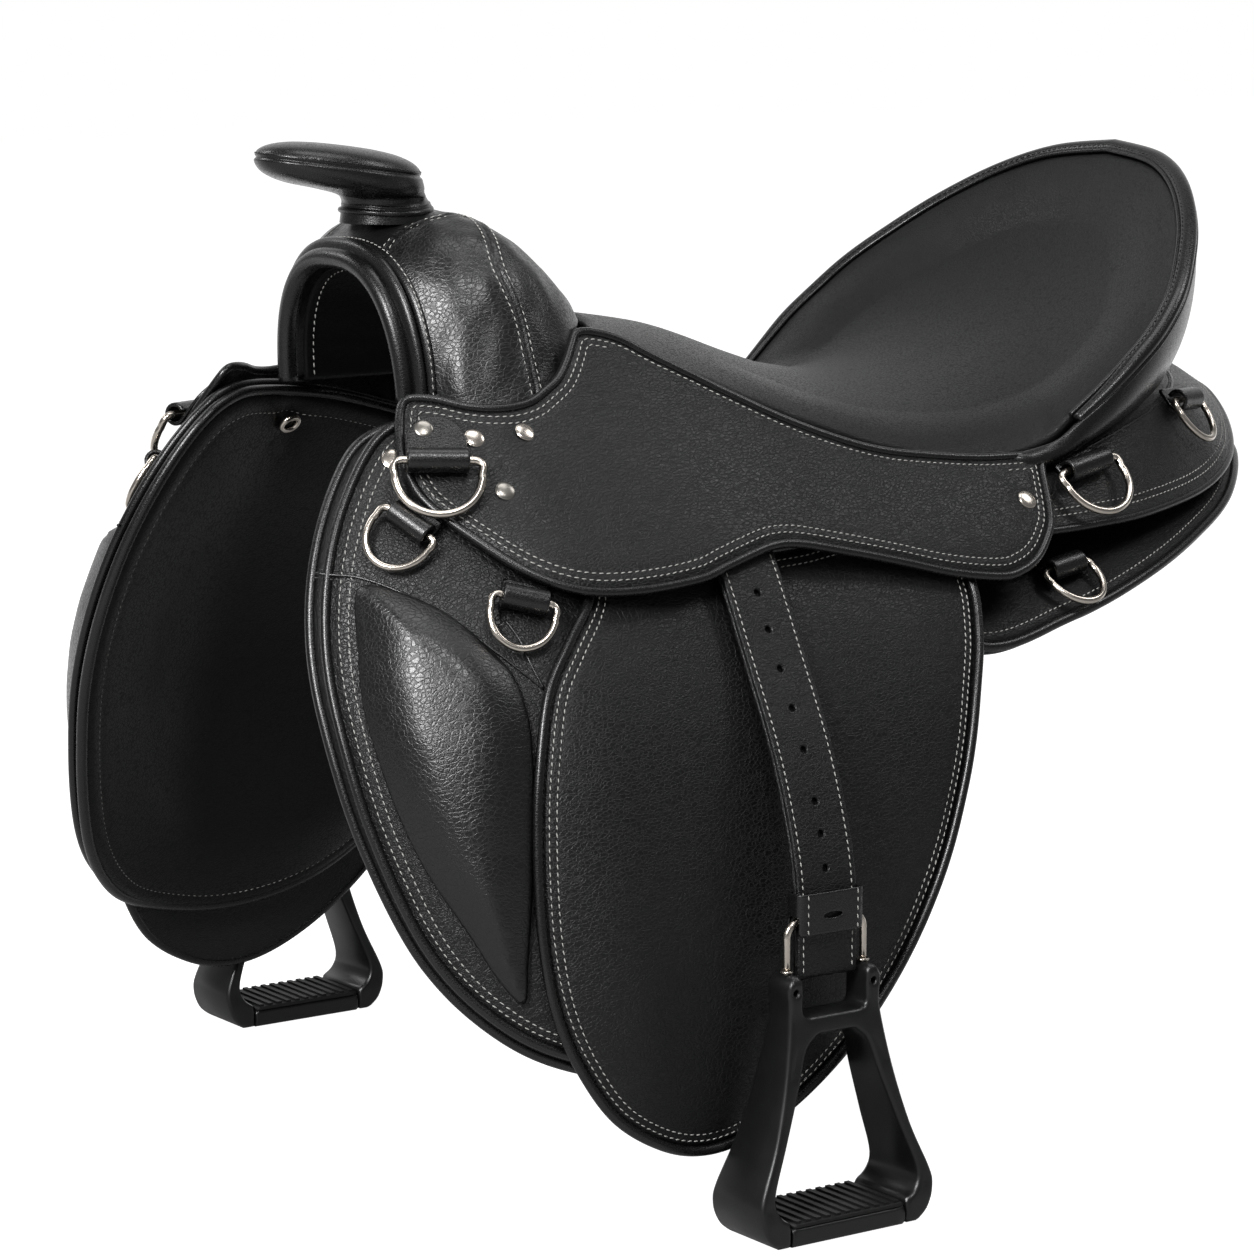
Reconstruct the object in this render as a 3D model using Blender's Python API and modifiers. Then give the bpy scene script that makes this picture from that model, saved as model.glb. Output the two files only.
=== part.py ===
"""Endurance saddle, leather on a moulded tree.

Metres, +Z up, -Y towards the horse's head, +X the near (left) side.
The saddle is symmetric about X = 0.  The origin is the top line of the
horse's back, on the centre plane under the lowest part of the seat.

Flat leather is drawn as an outline in (y, z), laid on the curved side of
the saddle and given its thickness by Solidify.  The seat, the swell and
the tree are patches spanned between four edge curves.  Every paired piece
is built once and once more for the off side.
"""
import functools
import math

import bmesh
import bpy
import numpy as np
from mathutils import Matrix, Vector
from mathutils.geometry import delaunay_2d_cdt

MM = 0.001
GAP = 0.4 * MM
NEAR, OFF = 1, -1
SIDES = ((NEAR, "left"), (OFF, "right"))

# Side of the saddle: half width against height, and how the front wraps in
CREST = [(-0.36, 0.245), (-0.30, 0.2445), (-0.20, 0.241), (-0.15, 0.234), (-0.10, 0.222),
         (-0.03, 0.185), (0.03, 0.137), (0.066, 0.104), (0.10, 0.078), (0.13, 0.060)]
WRAP_START_Y = -0.215
WRAP_RATE = 5.0

# Leather thicknesses and how far each layer stands off the flap's outer face
FLAP_THICK = 4 * MM
FENDER_LIFT = 2.4 * MM
FENDER_THICK = 3.2 * MM
JOCKEY_THICK = 4 * MM
JOCKEY_LIFT = [(-0.32, 0.0075), (-0.26, 0.0075), (-0.18, 0.0188), (-0.140, 0.0219), (-0.115, 0.0222),
               (-0.09, 0.0213), (-0.05, 0.0178), (0.03, 0.012), (0.20, 0.012)]
KNEE_RISE = 12 * MM
PANEL_PAD = 24 * MM
PANEL_BACKING = 6 * MM
KNEE_LIFT = 1.6 * MM

# Outlines on the side, (y, z), anticlockwise seen from outside
JOCKEY_OUTLINE = [(-0.272, 0.057), (-0.277, 0.043), (-0.278, 0.033), (-0.275, 0.020), (-0.261, 0.003),
                  (-0.242, -0.015), (-0.219, -0.026), (-0.189, -0.030), (-0.154, -0.029), (-0.135, -0.025),
                  (-0.117, -0.021), (-0.101, -0.018), (-0.083, -0.018), (-0.050, -0.023), (-0.017, -0.029),
                  (0.017, -0.036), (0.051, -0.040), (0.067, -0.038), (0.080, -0.033), (0.091, -0.025),
                  (0.100, -0.015), (0.109, 0.007), (0.113, 0.016), (0.106, 0.017), (0.072, 0.018),
                  (0.037, 0.021), (0.003, 0.025), (-0.029, 0.033), (-0.058, 0.043), (-0.085, 0.055),
                  (-0.105, 0.066), (-0.123, 0.076), (-0.139, 0.086), (-0.154, 0.091), (-0.163, 0.091),
                  (-0.168, 0.086), (-0.175, 0.078), (-0.184, 0.070), (-0.194, 0.065), (-0.204, 0.061),
                  (-0.215, 0.060), (-0.227, 0.061), (-0.239, 0.064), (-0.249, 0.068), (-0.259, 0.070),
                  (-0.266, 0.068)]
FENDER_OUTLINE = [(-0.200, -0.008), (-0.214, -0.027), (-0.235, -0.048), (-0.252, -0.071), (-0.264, -0.109),
                  (-0.269, -0.149), (-0.270, -0.189), (-0.266, -0.225), (-0.255, -0.257), (-0.235, -0.287),
                  (-0.202, -0.306), (-0.168, -0.308), (-0.130, -0.294), (-0.091, -0.267), (-0.057, -0.231),
                  (-0.027, -0.187), (-0.005, -0.142), (0.013, -0.096), (0.026, -0.066), (0.033, -0.039),
                  (0.024, -0.020), (-0.030, -0.010), (-0.075, -0.013), (-0.115, -0.014), (-0.155, -0.0125)]
FLAP_OUTLINE = [(-0.240, 0.063), (-0.270, 0.061), (-0.293, 0.044), (-0.317, 0.008), (-0.3325, -0.034),
                (-0.338, -0.080), (-0.333, -0.137), (-0.3155, -0.198), (-0.287, -0.235), (-0.249, -0.2535),
                (-0.190, -0.262), (-0.130, -0.250), (-0.080, -0.215), (-0.040, -0.155), (-0.014, -0.090),
                (-0.008, -0.030), (-0.012, 0.008), (-0.060, 0.022), (-0.130, 0.040), (-0.190, 0.056)]
PANEL_OUTLINE = [(-0.2405, 0.0644), (-0.2712, 0.0632), (-0.2971, 0.0491), (-0.3223, 0.0118),
                 (-0.3387, -0.0319), (-0.3445, -0.0799), (-0.3391, -0.1394), (-0.3202, -0.2024),
                 (-0.2904, -0.2405), (-0.2511, -0.2597), (-0.1899, -0.2685), (-0.1278, -0.2561),
                 (-0.0758, -0.2200), (-0.0341, -0.1578), (-0.0095, -0.0902), (-0.0056, -0.0293),
                 (-0.0098, 0.0091), (-0.0580, 0.0236), (-0.1289, 0.0422), (-0.1900, 0.0580)]
KNEE_OUTLINE = [(-0.315, -0.018), (-0.3235, -0.048), (-0.3275, -0.081), (-0.3235, -0.120), (-0.3145, -0.155),
                (-0.301, -0.185), (-0.289, -0.211), (-0.280, -0.222), (-0.279, -0.200), (-0.277, -0.169),
                (-0.274, -0.130), (-0.271, -0.100), (-0.269, -0.080), (-0.270, -0.060), (-0.279, -0.043),
                (-0.293, -0.026)]

# Seat: edge from the pommel back along the jockey and up the rim, centre line and front edge
SEAT_SIDE = [(0.090, -0.152, 0.099), (0.095, -0.121, 0.089), (0.105, -0.088, 0.076), (0.116, -0.057, 0.061),
             (0.127, -0.024, 0.047), (0.134, 0.011, 0.034), (0.140, 0.049, 0.026), (0.145, 0.088, 0.022),
             (0.150, 0.118, 0.028), (0.153, 0.138, 0.043), (0.156, 0.157, 0.058), (0.157, 0.175, 0.073),
             (0.155, 0.194, 0.088), (0.148, 0.213, 0.105), (0.134, 0.232, 0.122)]
SEAT_REAR = [(0, 0.296, 0.179), (0.045, 0.290, 0.174), (0.080, 0.276, 0.162), (0.111, 0.255, 0.143),
             (0.134, 0.232, 0.122)]
SEAT_CENTRE = [(0, -0.108, 0.104), (0, -0.060, 0.096), (0, -0.010, 0.079), (0, 0.030, 0.067),
               (0, 0.085, 0.059), (0, 0.140, 0.063), (0, 0.195, 0.082), (0, 0.245, 0.118),
               (0, 0.277, 0.152), (0, 0.296, 0.179)]
SEAT_FRONT_SWEEP = -0.044
SEAT_FRONT_DROP = -0.005
SEAT_THICK = 18 * MM
SEAT_EDGE_SHARE = 0.30
SEAT_ROWS, SEAT_COLUMNS = 17, 7
RIM_NORMAL = (0, -0.665, 0.747)
TREE_BELOW_SEAT = 20 * MM
TREE_THICK = 6 * MM
TREE_BAR_THICK = 17 * MM

# Swell over the pommel, and the arch under it
SWELL_FRONT_Y = -0.246
SWELL_TOP = [(0, -0.246, 0.147), (0, -0.222, 0.160), (0, -0.188, 0.163), (0, -0.147, 0.136),
             (0, -0.111, 0.1055)]
SWELL_SIDE = [(0.075, -0.240, 0.068), (0.094, -0.232, 0.063), (0.107, -0.213, 0.063), (0.110, -0.190, 0.069),
              (0.102, -0.171, 0.081), (0.087, -0.160, 0.095)]
SWELL_BULGE = 9 * MM
SWELL_THICK = 5 * MM
ARCH_HALF_WIDTH = 0.054
ARCH_FOOT_Z = 0.068
ARCH_TOP_Z = 0.136
ARCH_RAKE = 6 * MM
ARCH_ROLL = 5.5 * MM
LINING_BACK_Y = -0.118

# Horn: a wide hand hold leaning forward over a short neck
HORN_BASE = Vector((0, -0.219, 0.1645))
HORN_NECK_TOP = Vector((0, -0.229, 0.1775))
HORN_NECK_LONG, HORN_NECK_WIDE, HORN_NECK_WAIST = 0.028, 0.025, 0.14
HORN_CAP_CENTRE = Vector((0, -0.249, 0.1885))
HORN_CAP_LONG, HORN_CAP_WIDE, HORN_CAP_HIGH = 0.049, 0.033, 0.0125
HORN_CAP_TILT = math.radians(7)

# Rear skirt: outer and inner edges from the jockey round to the centre back
SKIRT_OUTER = [(0.180, 0.070, -0.016), (0.180, 0.105, -0.016), (0.179, 0.138, -0.015), (0.171, 0.184, -0.013),
               (0.150, 0.245, -0.006), (0.122, 0.290, 0.006), (0.080, 0.326, 0.020), (0.035, 0.350, 0.034),
               (0, 0.357, 0.040)]
SKIRT_INNER = [(0.146, 0.070, 0.012), (0.148, 0.105, 0.013), (0.146, 0.138, 0.022), (0.140, 0.175, 0.034),
               (0.124, 0.215, 0.045), (0.098, 0.250, 0.053), (0.065, 0.272, 0.058), (0.030, 0.283, 0.061),
               (0, 0.286, 0.062)]
SKIRT_THICK = 4.5 * MM

# Back panels under the seat: plan outline (x, y) of the near one
PAD_OUTLINE = [(0.036, -0.100), (0.085, -0.110), (0.108, -0.070), (0.122, -0.010), (0.150, 0.012),
               (0.196, 0.030), (0.192, 0.100), (0.180, 0.165), (0.160, 0.220), (0.134, 0.268),
               (0.092, 0.312), (0.055, 0.328), (0.036, 0.318), (0.034, 0.200), (0.034, 0.050)]
PAD_TOP_Z = 0.018
PAD_DROP = [(-0.12, 0.030), (0.03, 0.084), (0.116, 0.078), (0.173, 0.070), (0.225, 0.064), (0.33, 0.050)]
PAD_THICK = 24 * MM
BEARING_PLANE = (0.110, 0.130)
BEARING_CUT = 3.5 * MM
BEARING_BLOCK = 0.08

# Stirrup leather and its bar, on the near side
STRAP_Y = -0.115
STRAP_LEAN = 0.054
STRAP_HALF = 19 * MM
PLY = 2.6 * MM
PIVOT_Z = 0.016
BAR_THICK = 2.4 * MM
BAR_HIGH = 9 * MM
BAR_LEG_IN, BAR_LEG_OUT, BAR_FOOT_OUT = 25.5 * MM, 30 * MM, 38 * MM
BAR_FOOT_THICK = 2 * MM
LOOP_STAND_OFF = 2.4 * MM
SLOT_GAP = 2.4 * MM
STRAP_OFF_FENDER = 4.1 * MM
SLOT_HALF_HIGH = 15 * MM
STRAP_STAND_OFF = 21 * MM
BAIL_PIVOT_Z = -0.1885
BAIL_WIRE = 2.0 * MM
BAIL_LEG, BAIL_BEND = 24.8 * MM, 8 * MM
EYE_OUTER = 4.9 * MM
EYE_HOLE = 2.9 * MM
TAB_BELOW = 30 * MM
KEEPER_HALF_HIGH = 11 * MM
KEEPER_WALL = 1.5 * MM
KEEPER_NOTCH = 4 * MM

# Stirrup, measured down from the bail's top bar
EAR_TOP = -26 * MM
NOTCH_FLOOR = -48.5 * MM
CROSSBAR_UNDER = -58.5 * MM
TREAD_TOP = -152 * MM
STIRRUP_FOOT = -165 * MM
EAR_HALF, NOTCH_HALF = 30 * MM, 20.5 * MM
FOOT_HALF = 56 * MM
TREAD_HALF = 37 * MM
DEPTH_AT_EAR, DEPTH_AT_TREAD = 20 * MM, 47 * MM
SOCKET, SOCKET_DEPTH = BAIL_WIRE + 0.5 * MM, 13 * MM

# Rings: wire radius, half width, drop
LARGE_RING = (2.2 * MM, 22.5 * MM, 31 * MM)
SMALL_RING = (2.0 * MM, 17 * MM, 27 * MM)
RING_LEAN = math.radians(6)
ROLL_RADIUS = 6.6 * MM
ROLL_SHARE = 0.72
TAB_THICK = 2.4 * MM
LONG_TAB, SHORT_TAB = 17 * MM, 11 * MM

# Rings on the side: y, z, lift of the leather beneath, turn of the bar in degrees
SIDE_RINGS = [("pommel", LARGE_RING, LONG_TAB, -0.2647, 0.0358, 7.5 * MM, -3),
              ("breast", SMALL_RING, SHORT_TAB, -0.2861, 0.0103, 0.0, -39),
              ("girth_front", SMALL_RING, SHORT_TAB, -0.2492, -0.0262, 0.0, -16)]
# Rings on the rear skirt: share along it, share across it, turn of the bar
SKIRT_RINGS = [("skirt", LARGE_RING, SHORT_TAB, 0.211, 0.435, 2),
               ("crupper", SMALL_RING, SHORT_TAB, 0.570, 0.364, -20)]
# Ring on the back panel: x, y, turn of the bar
PANEL_RING = ("girth_rear", SMALL_RING, SHORT_TAB, 0.1747, 0.1143, 6)


def clear_scene():
    for item in list(bpy.data.objects):
        bpy.data.objects.remove(item)


def make_collection(name):
    group = bpy.data.collections.new(name)
    bpy.context.scene.collection.children.link(group)
    return group


def make_material(name, colour, roughness, metallic=0.0):
    material = bpy.data.materials.new(name)
    material.use_nodes = True
    shader = material.node_tree.nodes["Principled BSDF"]
    shader.inputs["Base Color"].default_value = (*colour, 1.0)
    shader.inputs["Roughness"].default_value = roughness
    shader.inputs["Metallic"].default_value = metallic
    return material


def finish(item, material):
    item.data.materials.clear()
    item.data.materials.append(material.copy())
    item.data.materials[0].name = item.name
    if item.name not in saddle.objects:
        saddle.objects.link(item)
    return item


def smooth_value(pairs, at):
    """Value at a place on the smooth curve through (place, value) pairs."""
    places = np.array([pair[0] for pair in pairs])
    values = np.array([pair[1] for pair in pairs])
    slopes = np.gradient(values, places)
    at = min(max(at, places[0]), places[-1])
    index = min(max(int(np.searchsorted(places, at)) - 1, 0), len(places) - 2)
    step = places[index + 1] - places[index]
    t = (at - places[index]) / step
    return float((2 * t**3 - 3 * t**2 + 1) * values[index] + (t**3 - 2 * t**2 + t) * step * slopes[index]
                 + (3 * t**2 - 2 * t**3) * values[index + 1] + (t**3 - t**2) * step * slopes[index + 1])


def smooth_path(points, count, closed=False):
    """Evenly spaced points on a Catmull-Rom curve through the given points."""
    knots = [np.array(point, dtype=float) for point in points]
    total = len(knots)
    dense = []
    for index in range(total if closed else total - 1):
        if closed:
            before, start, end, after = (knots[(index + k) % total] for k in (-1, 0, 1, 2))
        else:
            before, start = knots[max(index - 1, 0)], knots[index]
            end, after = knots[index + 1], knots[min(index + 2, total - 1)]
        for t in np.linspace(0, 1, 16, endpoint=False):
            dense.append(0.5 * (2 * start + (end - before) * t
                                + (2 * before - 5 * start + 4 * end - after) * t**2
                                + (3 * start - before - 3 * end + after) * t**3))
    dense.append(knots[0] if closed else knots[-1])
    dense = np.array(dense)
    run = np.concatenate([[0], np.cumsum(np.linalg.norm(np.diff(dense, axis=0), axis=1))])
    wanted = np.linspace(0, run[-1], count + 1 if closed else count)[:count]
    return [np.array([np.interp(place, run, dense[:, axis]) for axis in range(dense.shape[1])])
            for place in wanted]


@functools.cache
def fine_path(points):
    return smooth_path(points, 90)


def along(points, share):
    """Point a given share of the way along the smooth path."""
    path = fine_path(tuple(points))
    place = min(max(share, 0.0), 1.0) * (len(path) - 1)
    index = min(int(place), len(path) - 2)
    return Vector(path[index] + (path[index + 1] - path[index]) * (place - index))


def side_x(y, z):
    return smooth_value(CREST, z) - WRAP_RATE * max(0.0, WRAP_START_Y - y)**2


def side_normal(y, z):
    step = 1 * MM
    slope_y = (side_x(y + step, z) - side_x(y - step, z)) / (2 * step)
    slope_z = (side_x(y, z + step) - side_x(y, z - step)) / (2 * step)
    return Vector((1, -slope_y, -slope_z)).normalized()


def side_point(y, z, lift):
    """Point standing off the side of the saddle by a lift."""
    return Vector((side_x(y, z), y, z)) + side_normal(y, z) * lift


def mesh_piece(name, points, faces, side=NEAR):
    """Mesh object from points and faces, mirrored for the off side."""
    mesh = bpy.data.meshes.new(name)
    if side == OFF:
        points = [(-point[0], point[1], point[2]) for point in points]
        faces = [tuple(reversed(face)) for face in faces]
    mesh.from_pydata([tuple(point) for point in points], [], faces)
    mesh.shade_smooth()
    item = bpy.data.objects.new(name, mesh)
    saddle.objects.link(item)
    return item


def thicken(item, thickness, offset, weights=None, thinnest=0.0):
    """Solidify an open surface, with a share of the thickness for each point."""
    shell = item.modifiers.new("thickness", "SOLIDIFY")
    shell.thickness = thickness
    shell.offset = offset
    if weights is not None:
        group = item.vertex_groups.new(name="thickness")
        for index, weight in enumerate(weights):
            group.add([index], weight, "REPLACE")
        shell.vertex_group = "thickness"
        shell.thickness_vertex_group = thinnest
    return item


def fill_outline(outline, spacing):
    """Triangles over a flat outline, with inner points on a regular grid."""
    border = np.array(outline)
    count = len(border)
    low, high = border.min(axis=0), border.max(axis=0)
    starts, ends = border, np.roll(border, -1, axis=0)

    def border_distance(point):
        run = ends - starts
        share = np.clip(((point - starts) * run).sum(axis=1) / (run * run).sum(axis=1), 0, 1)
        return np.linalg.norm(starts + run * share[:, None] - point, axis=1).min()

    def inside(point):
        crossings = (starts[:, 1] > point[1]) != (ends[:, 1] > point[1])
        reach = starts[:, 0] + (point[1] - starts[:, 1]) / (ends[:, 1] - starts[:, 1] + 1e-12) * (
            ends[:, 0] - starts[:, 0])
        return bool(np.count_nonzero(crossings & (point[0] < reach)) % 2)

    inner = []
    rise = spacing * math.sqrt(0.75)
    for row in range(int(low[1] // rise), int(high[1] // rise) + 2):
        for column in range(int(low[0] // spacing) - 1, int(high[0] // spacing) + 2):
            point = np.array([(column + 0.5 * (row % 2)) * spacing, row * rise])
            if inside(point) and border_distance(point) > 0.45 * spacing:
                inner.append(point)
    places = [Vector(point) for point in list(border) + inner]
    edges = [(index, (index + 1) % count) for index in range(count)]
    found = delaunay_2d_cdt(places, edges, [tuple(range(count))], 1, 1e-6)
    distances = [0.0 if index < count else border_distance(np.array(place))
                 for index, place in enumerate(found[0])]
    return found[0], found[2], distances


def side_sheet(name, side, outline, count, spacing, lift, thickness, offset, pad=None, thinnest=1.0):
    """Leather laid on the side; a pad distance swells it towards its middle."""
    places, faces, distances = fill_outline(smooth_path(outline, count, closed=True), spacing)
    points = [side_point(place[0], place[1], lift(place[0])) for place in places]
    item = mesh_piece(name, points, faces, side)
    weights = None
    if pad:
        weights = [math.sin(0.5 * math.pi * min(1.0, distance / pad)) for distance in distances]
    return thicken(item, thickness, offset, weights, thinnest)


def grid_faces(rows, columns):
    return [(row * columns + column, row * columns + column + 1,
             (row + 1) * columns + column + 1, (row + 1) * columns + column)
            for row in range(rows - 1) for column in range(columns - 1)]


def half_patch(centre, side, front, rear, crown, u, v):
    """Point of a symmetric patch, u from the centre plane out and v from front to rear."""
    share = u**crown(v)

    def ruled(at):
        inner, outer = along(centre, at), along(side, at)
        mixed = inner + (outer - inner) * share
        mixed.x = inner.x + (outer.x - inner.x) * u
        return mixed

    return (ruled(v) + (front(u) - ruled(0.0)) * (1 - v) + (rear(u) - ruled(1.0)) * v)


def seat_front(u):
    return Vector((SEAT_SIDE[0][0] * u, SEAT_CENTRE[0][1] + SEAT_FRONT_SWEEP * u**2,
                   SEAT_CENTRE[0][2] + SEAT_FRONT_DROP * u**2))


def seat_crown(v):
    return smooth_value([(0, 2.4), (0.35, 3.0), (0.6, 2.4), (1, 2.0)], v)


def seat_point(u, v):
    return half_patch(SEAT_CENTRE, SEAT_SIDE, seat_front, lambda share: along(SEAT_REAR, share), seat_crown, u, v)


def arch_point(angle, half_width, foot_z, top_z, y):
    """Point on an upright arch; angle 0 is the near foot and 90 degrees the top."""
    across, up = max(math.cos(angle), 0.0), max(math.sin(angle), 0.0)
    return Vector((half_width * across**0.8, y + ARCH_RAKE * (1 - up), foot_z + (top_z - foot_z) * up**0.9))


def swell_front(u):
    angle = 0.5 * math.pi * (1 - u)
    return arch_point(max(angle, 0.0), SWELL_SIDE[0][0], SWELL_SIDE[0][2], SWELL_TOP[0][2], SWELL_FRONT_Y)


def swell_rear(u):
    front = seat_front(u)
    return Vector((SWELL_SIDE[-1][0] * u, front.y - 5 * MM, front.z + 1 * MM))


def swell_point(u, v):
    base = half_patch(SWELL_TOP, SWELL_SIDE, swell_front, swell_rear, lambda at: 2.6, u, v)
    puff = SWELL_BULGE * math.sin(math.pi * v) * math.sin(math.pi * u)**2
    return base + Vector((0.8, 0, 0.6)) * puff


def patch_grid(point_at, rows, columns, reach=1.0, sink=0.0, v_range=(0.0, 1.0)):
    """Rows of a half patch, sunk below its surface along the normal."""
    points = []
    step = 0.01
    for row in range(rows):
        v = v_range[0] + (v_range[1] - v_range[0]) * row / (rows - 1)
        for column in range(columns):
            u = reach * column / (columns - 1)
            point = point_at(u, v)
            if sink:
                low_u, low_v = max(u - step, 0.0), max(v - step, 0.0)
                across = point_at(min(low_u + 2 * step, 1.0), v) - point_at(low_u, v)
                back = point_at(u, min(low_v + 2 * step, 1.0)) - point_at(u, low_v)
                if column == 0:
                    across = Vector((1, 0, 0))
                point = point - across.cross(back).normalized() * sink
            if column == 0:
                point.x = 0.0
            points.append(point)
    return points


def mirrored_patch(name, points, rows, columns):
    item = mesh_piece(name, points, grid_faces(rows, columns))
    mirror = item.modifiers.new("mirror", "MIRROR")
    mirror.use_clip = True
    mirror.merge_threshold = 0.0001
    return item


def seat_cushion():
    """Crowned twist in front, a deep dish behind, and sides drawn in to the edge."""
    points = patch_grid(seat_point, SEAT_ROWS, SEAT_COLUMNS)
    item = mirrored_patch("seat_cushion", points, SEAT_ROWS, SEAT_COLUMNS)
    weights = []
    for row in range(SEAT_ROWS):
        for column in range(SEAT_COLUMNS):
            u, v = column / (SEAT_COLUMNS - 1), row / (SEAT_ROWS - 1)
            inward = min(1.0, (1 - u) / 0.3, v / 0.1, (1 - v) / 0.12)
            weights.append(SEAT_EDGE_SHARE + (1 - SEAT_EDGE_SHARE) * math.sin(0.5 * math.pi * inward))
    thicken(item, SEAT_THICK, -1, weights)
    return finish(item, black_leather)


def saddle_tree():
    """Moulded ground seat, thicker along each side where it forms the bars."""
    rows, columns = 13, 7
    points = patch_grid(seat_point, rows, columns, reach=0.76, sink=TREE_BELOW_SEAT, v_range=(0.06, 0.88))
    item = mirrored_patch("saddle_tree", points, rows, columns)
    weights = []
    for row in range(rows):
        for column in range(columns):
            bar = math.exp(-((column / (columns - 1) - 0.72) / 0.2)**2) * min(1, (rows - 1 - row) / 4)
            weights.append(TREE_THICK / TREE_BAR_THICK + (1 - TREE_THICK / TREE_BAR_THICK) * bar)
    thicken(item, TREE_BAR_THICK, -1, weights)
    return finish(item, tree_fibre)


def swell_cover():
    rows, columns = 11, 9
    item = mirrored_patch("swell_cover", patch_grid(swell_point, rows, columns), rows, columns)
    thicken(item, SWELL_THICK, -1)
    return finish(item, black_leather)


def arch_sweep(name, stations, thickness, material):
    """Arched shell through stations of (y, half width, foot height, top height)."""
    columns = 8
    points = []
    for y, half_width, foot_z, top_z in stations:
        for column in range(columns):
            angle = 0.5 * math.pi * (1 - column / (columns - 1))
            point = arch_point(max(angle, 0.0), half_width, foot_z, top_z, y)
            if column == 0:
                point.x = 0.0
            points.append(point)
    item = mirrored_patch(name, points, len(stations), columns)
    thicken(item, thickness, 1)
    return finish(item, material)


def gullet_lining():
    """Leather lining of the tunnel under the pommel."""
    stations = []
    for share in np.linspace(0, 1, 5):
        y = SWELL_FRONT_Y + 1 * MM + (LINING_BACK_Y - SWELL_FRONT_Y) * share
        stations.append((y, ARCH_HALF_WIDTH, ARCH_FOOT_Z, ARCH_TOP_Z - 3 * MM - 0.052 * share**1.6))
    return arch_sweep("gullet_lining", stations, 2.4 * MM, lining_leather)


def pommel_arch():
    """Steel gullet plate of the tree, between the lining and the swell."""
    stations = []
    for share in np.linspace(0, 1, 3):
        y = SWELL_FRONT_Y + 10 * MM + 0.045 * share
        stations.append((y, ARCH_HALF_WIDTH + 3.4 * MM, ARCH_FOOT_Z + 1 * MM, ARCH_TOP_Z + 1.2 * MM - 0.013 * share))
    return arch_sweep("pommel_arch", stations, 3 * MM, steel)


def tube(name, path, radius, material, sides=2):
    """Round roll or wire along a path, with closed ends."""
    curve = bpy.data.curves.new(name, "CURVE")
    curve.dimensions = "3D"
    curve.bevel_depth = radius
    curve.bevel_resolution = sides
    curve.use_fill_caps = True
    spline = curve.splines.new("POLY")
    spline.points.add(len(path) - 1)
    for place, point in zip(spline.points, path):
        place.co = (*point, 1)
    item = bpy.data.objects.new(name, curve)
    saddle.objects.link(item)
    return finish(item, material)


def arch_binding():
    """Thick roll round the front edge of the arch."""
    path = []
    for index in range(27):
        angle = math.pi * index / 26
        half = arch_point(min(angle, math.pi - angle), ARCH_HALF_WIDTH + 7 * MM, ARCH_FOOT_Z, ARCH_TOP_Z + 4 * MM,
                          SWELL_FRONT_Y - ARCH_ROLL - GAP)
        path.append((half.x if angle < 0.5 * math.pi else -half.x, half.y, half.z))
    return tube("arch_binding", path, ARCH_ROLL, piping_leather)


def ellipse_ring(centre, long, wide, count, tilt=0.0):
    turn = Matrix.Rotation(tilt, 3, "X")
    return [Vector(centre) + turn @ Vector((wide * math.cos(angle), long * math.sin(angle), 0))
            for angle in (2 * math.pi * index / count for index in range(count))]


def stacked_rings(name, rings, material):
    """Closed loft through rings of equal count, capped at both ends."""
    count = len(rings[0])
    points = [point for ring in rings for point in ring]
    faces = []
    for row in range(len(rings) - 1):
        for index in range(count):
            following = (index + 1) % count
            faces.append((row * count + index, row * count + following,
                          (row + 1) * count + following, (row + 1) * count + index))
    faces.append(tuple(reversed(range(count))))
    faces.append(tuple(range((len(rings) - 1) * count, len(rings) * count)))
    return finish(mesh_piece(name, points, faces), material)


def horn_neck():
    """Waisted neck leaning forward from the swell to the cap."""
    rings = []
    for share in np.linspace(0, 1, 6):
        waist = 1 - HORN_NECK_WAIST * math.sin(0.75 * math.pi * share)
        centre = HORN_BASE.lerp(HORN_NECK_TOP, share)
        rings.append(ellipse_ring(centre, HORN_NECK_LONG * waist, HORN_NECK_WIDE * waist, 20,
                                  -HORN_CAP_TILT * share))
    return stacked_rings("horn_neck", rings, black_leather)


def horn_cap():
    """Rounded hand hold, fuller above its seam than below."""
    rings = []
    turn = Matrix.Rotation(-HORN_CAP_TILT, 3, "X")
    for share in np.linspace(0, 1, 9):
        angle = math.radians(-78 + 158 * share)
        lift = HORN_CAP_HIGH * math.sin(angle) * (0.66 if angle < 0 else 1)
        spread = math.cos(angle)**0.55
        centre = HORN_CAP_CENTRE + turn @ Vector((0, 0, lift))
        rings.append(ellipse_ring(centre, HORN_CAP_LONG * spread, HORN_CAP_WIDE * spread, 24, -HORN_CAP_TILT))
    return stacked_rings("horn_cap", rings, black_leather)


def rim_path(count, offset, last):
    """Seat rim from the peak down the near side to a seat edge point, moved off the seat."""
    half = smooth_path(SEAT_REAR + SEAT_SIDE[-2:last - 1:-1], count)
    moved = []
    for index, point in enumerate(half):
        ahead = half[min(index + 1, count - 1)] - half[max(index - 1, 0)]
        if index == 0:
            ahead = np.array([1.0, 0, 0])
        outward = np.cross(RIM_NORMAL, ahead)
        outward /= np.linalg.norm(outward)
        moved.append(Vector(point + outward * offset[0] + np.array(RIM_NORMAL) * offset[1]))
    return moved


def cantle_binding():
    half = rim_path(20, (6.5 * MM, -1.5 * MM), 9)
    path = [(point.x, point.y, point.z) for point in reversed(half)]
    path += [(-point.x, point.y, point.z) for point in half[1:]]
    return tube("cantle_binding", path, 5 * MM, piping_leather)


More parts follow.
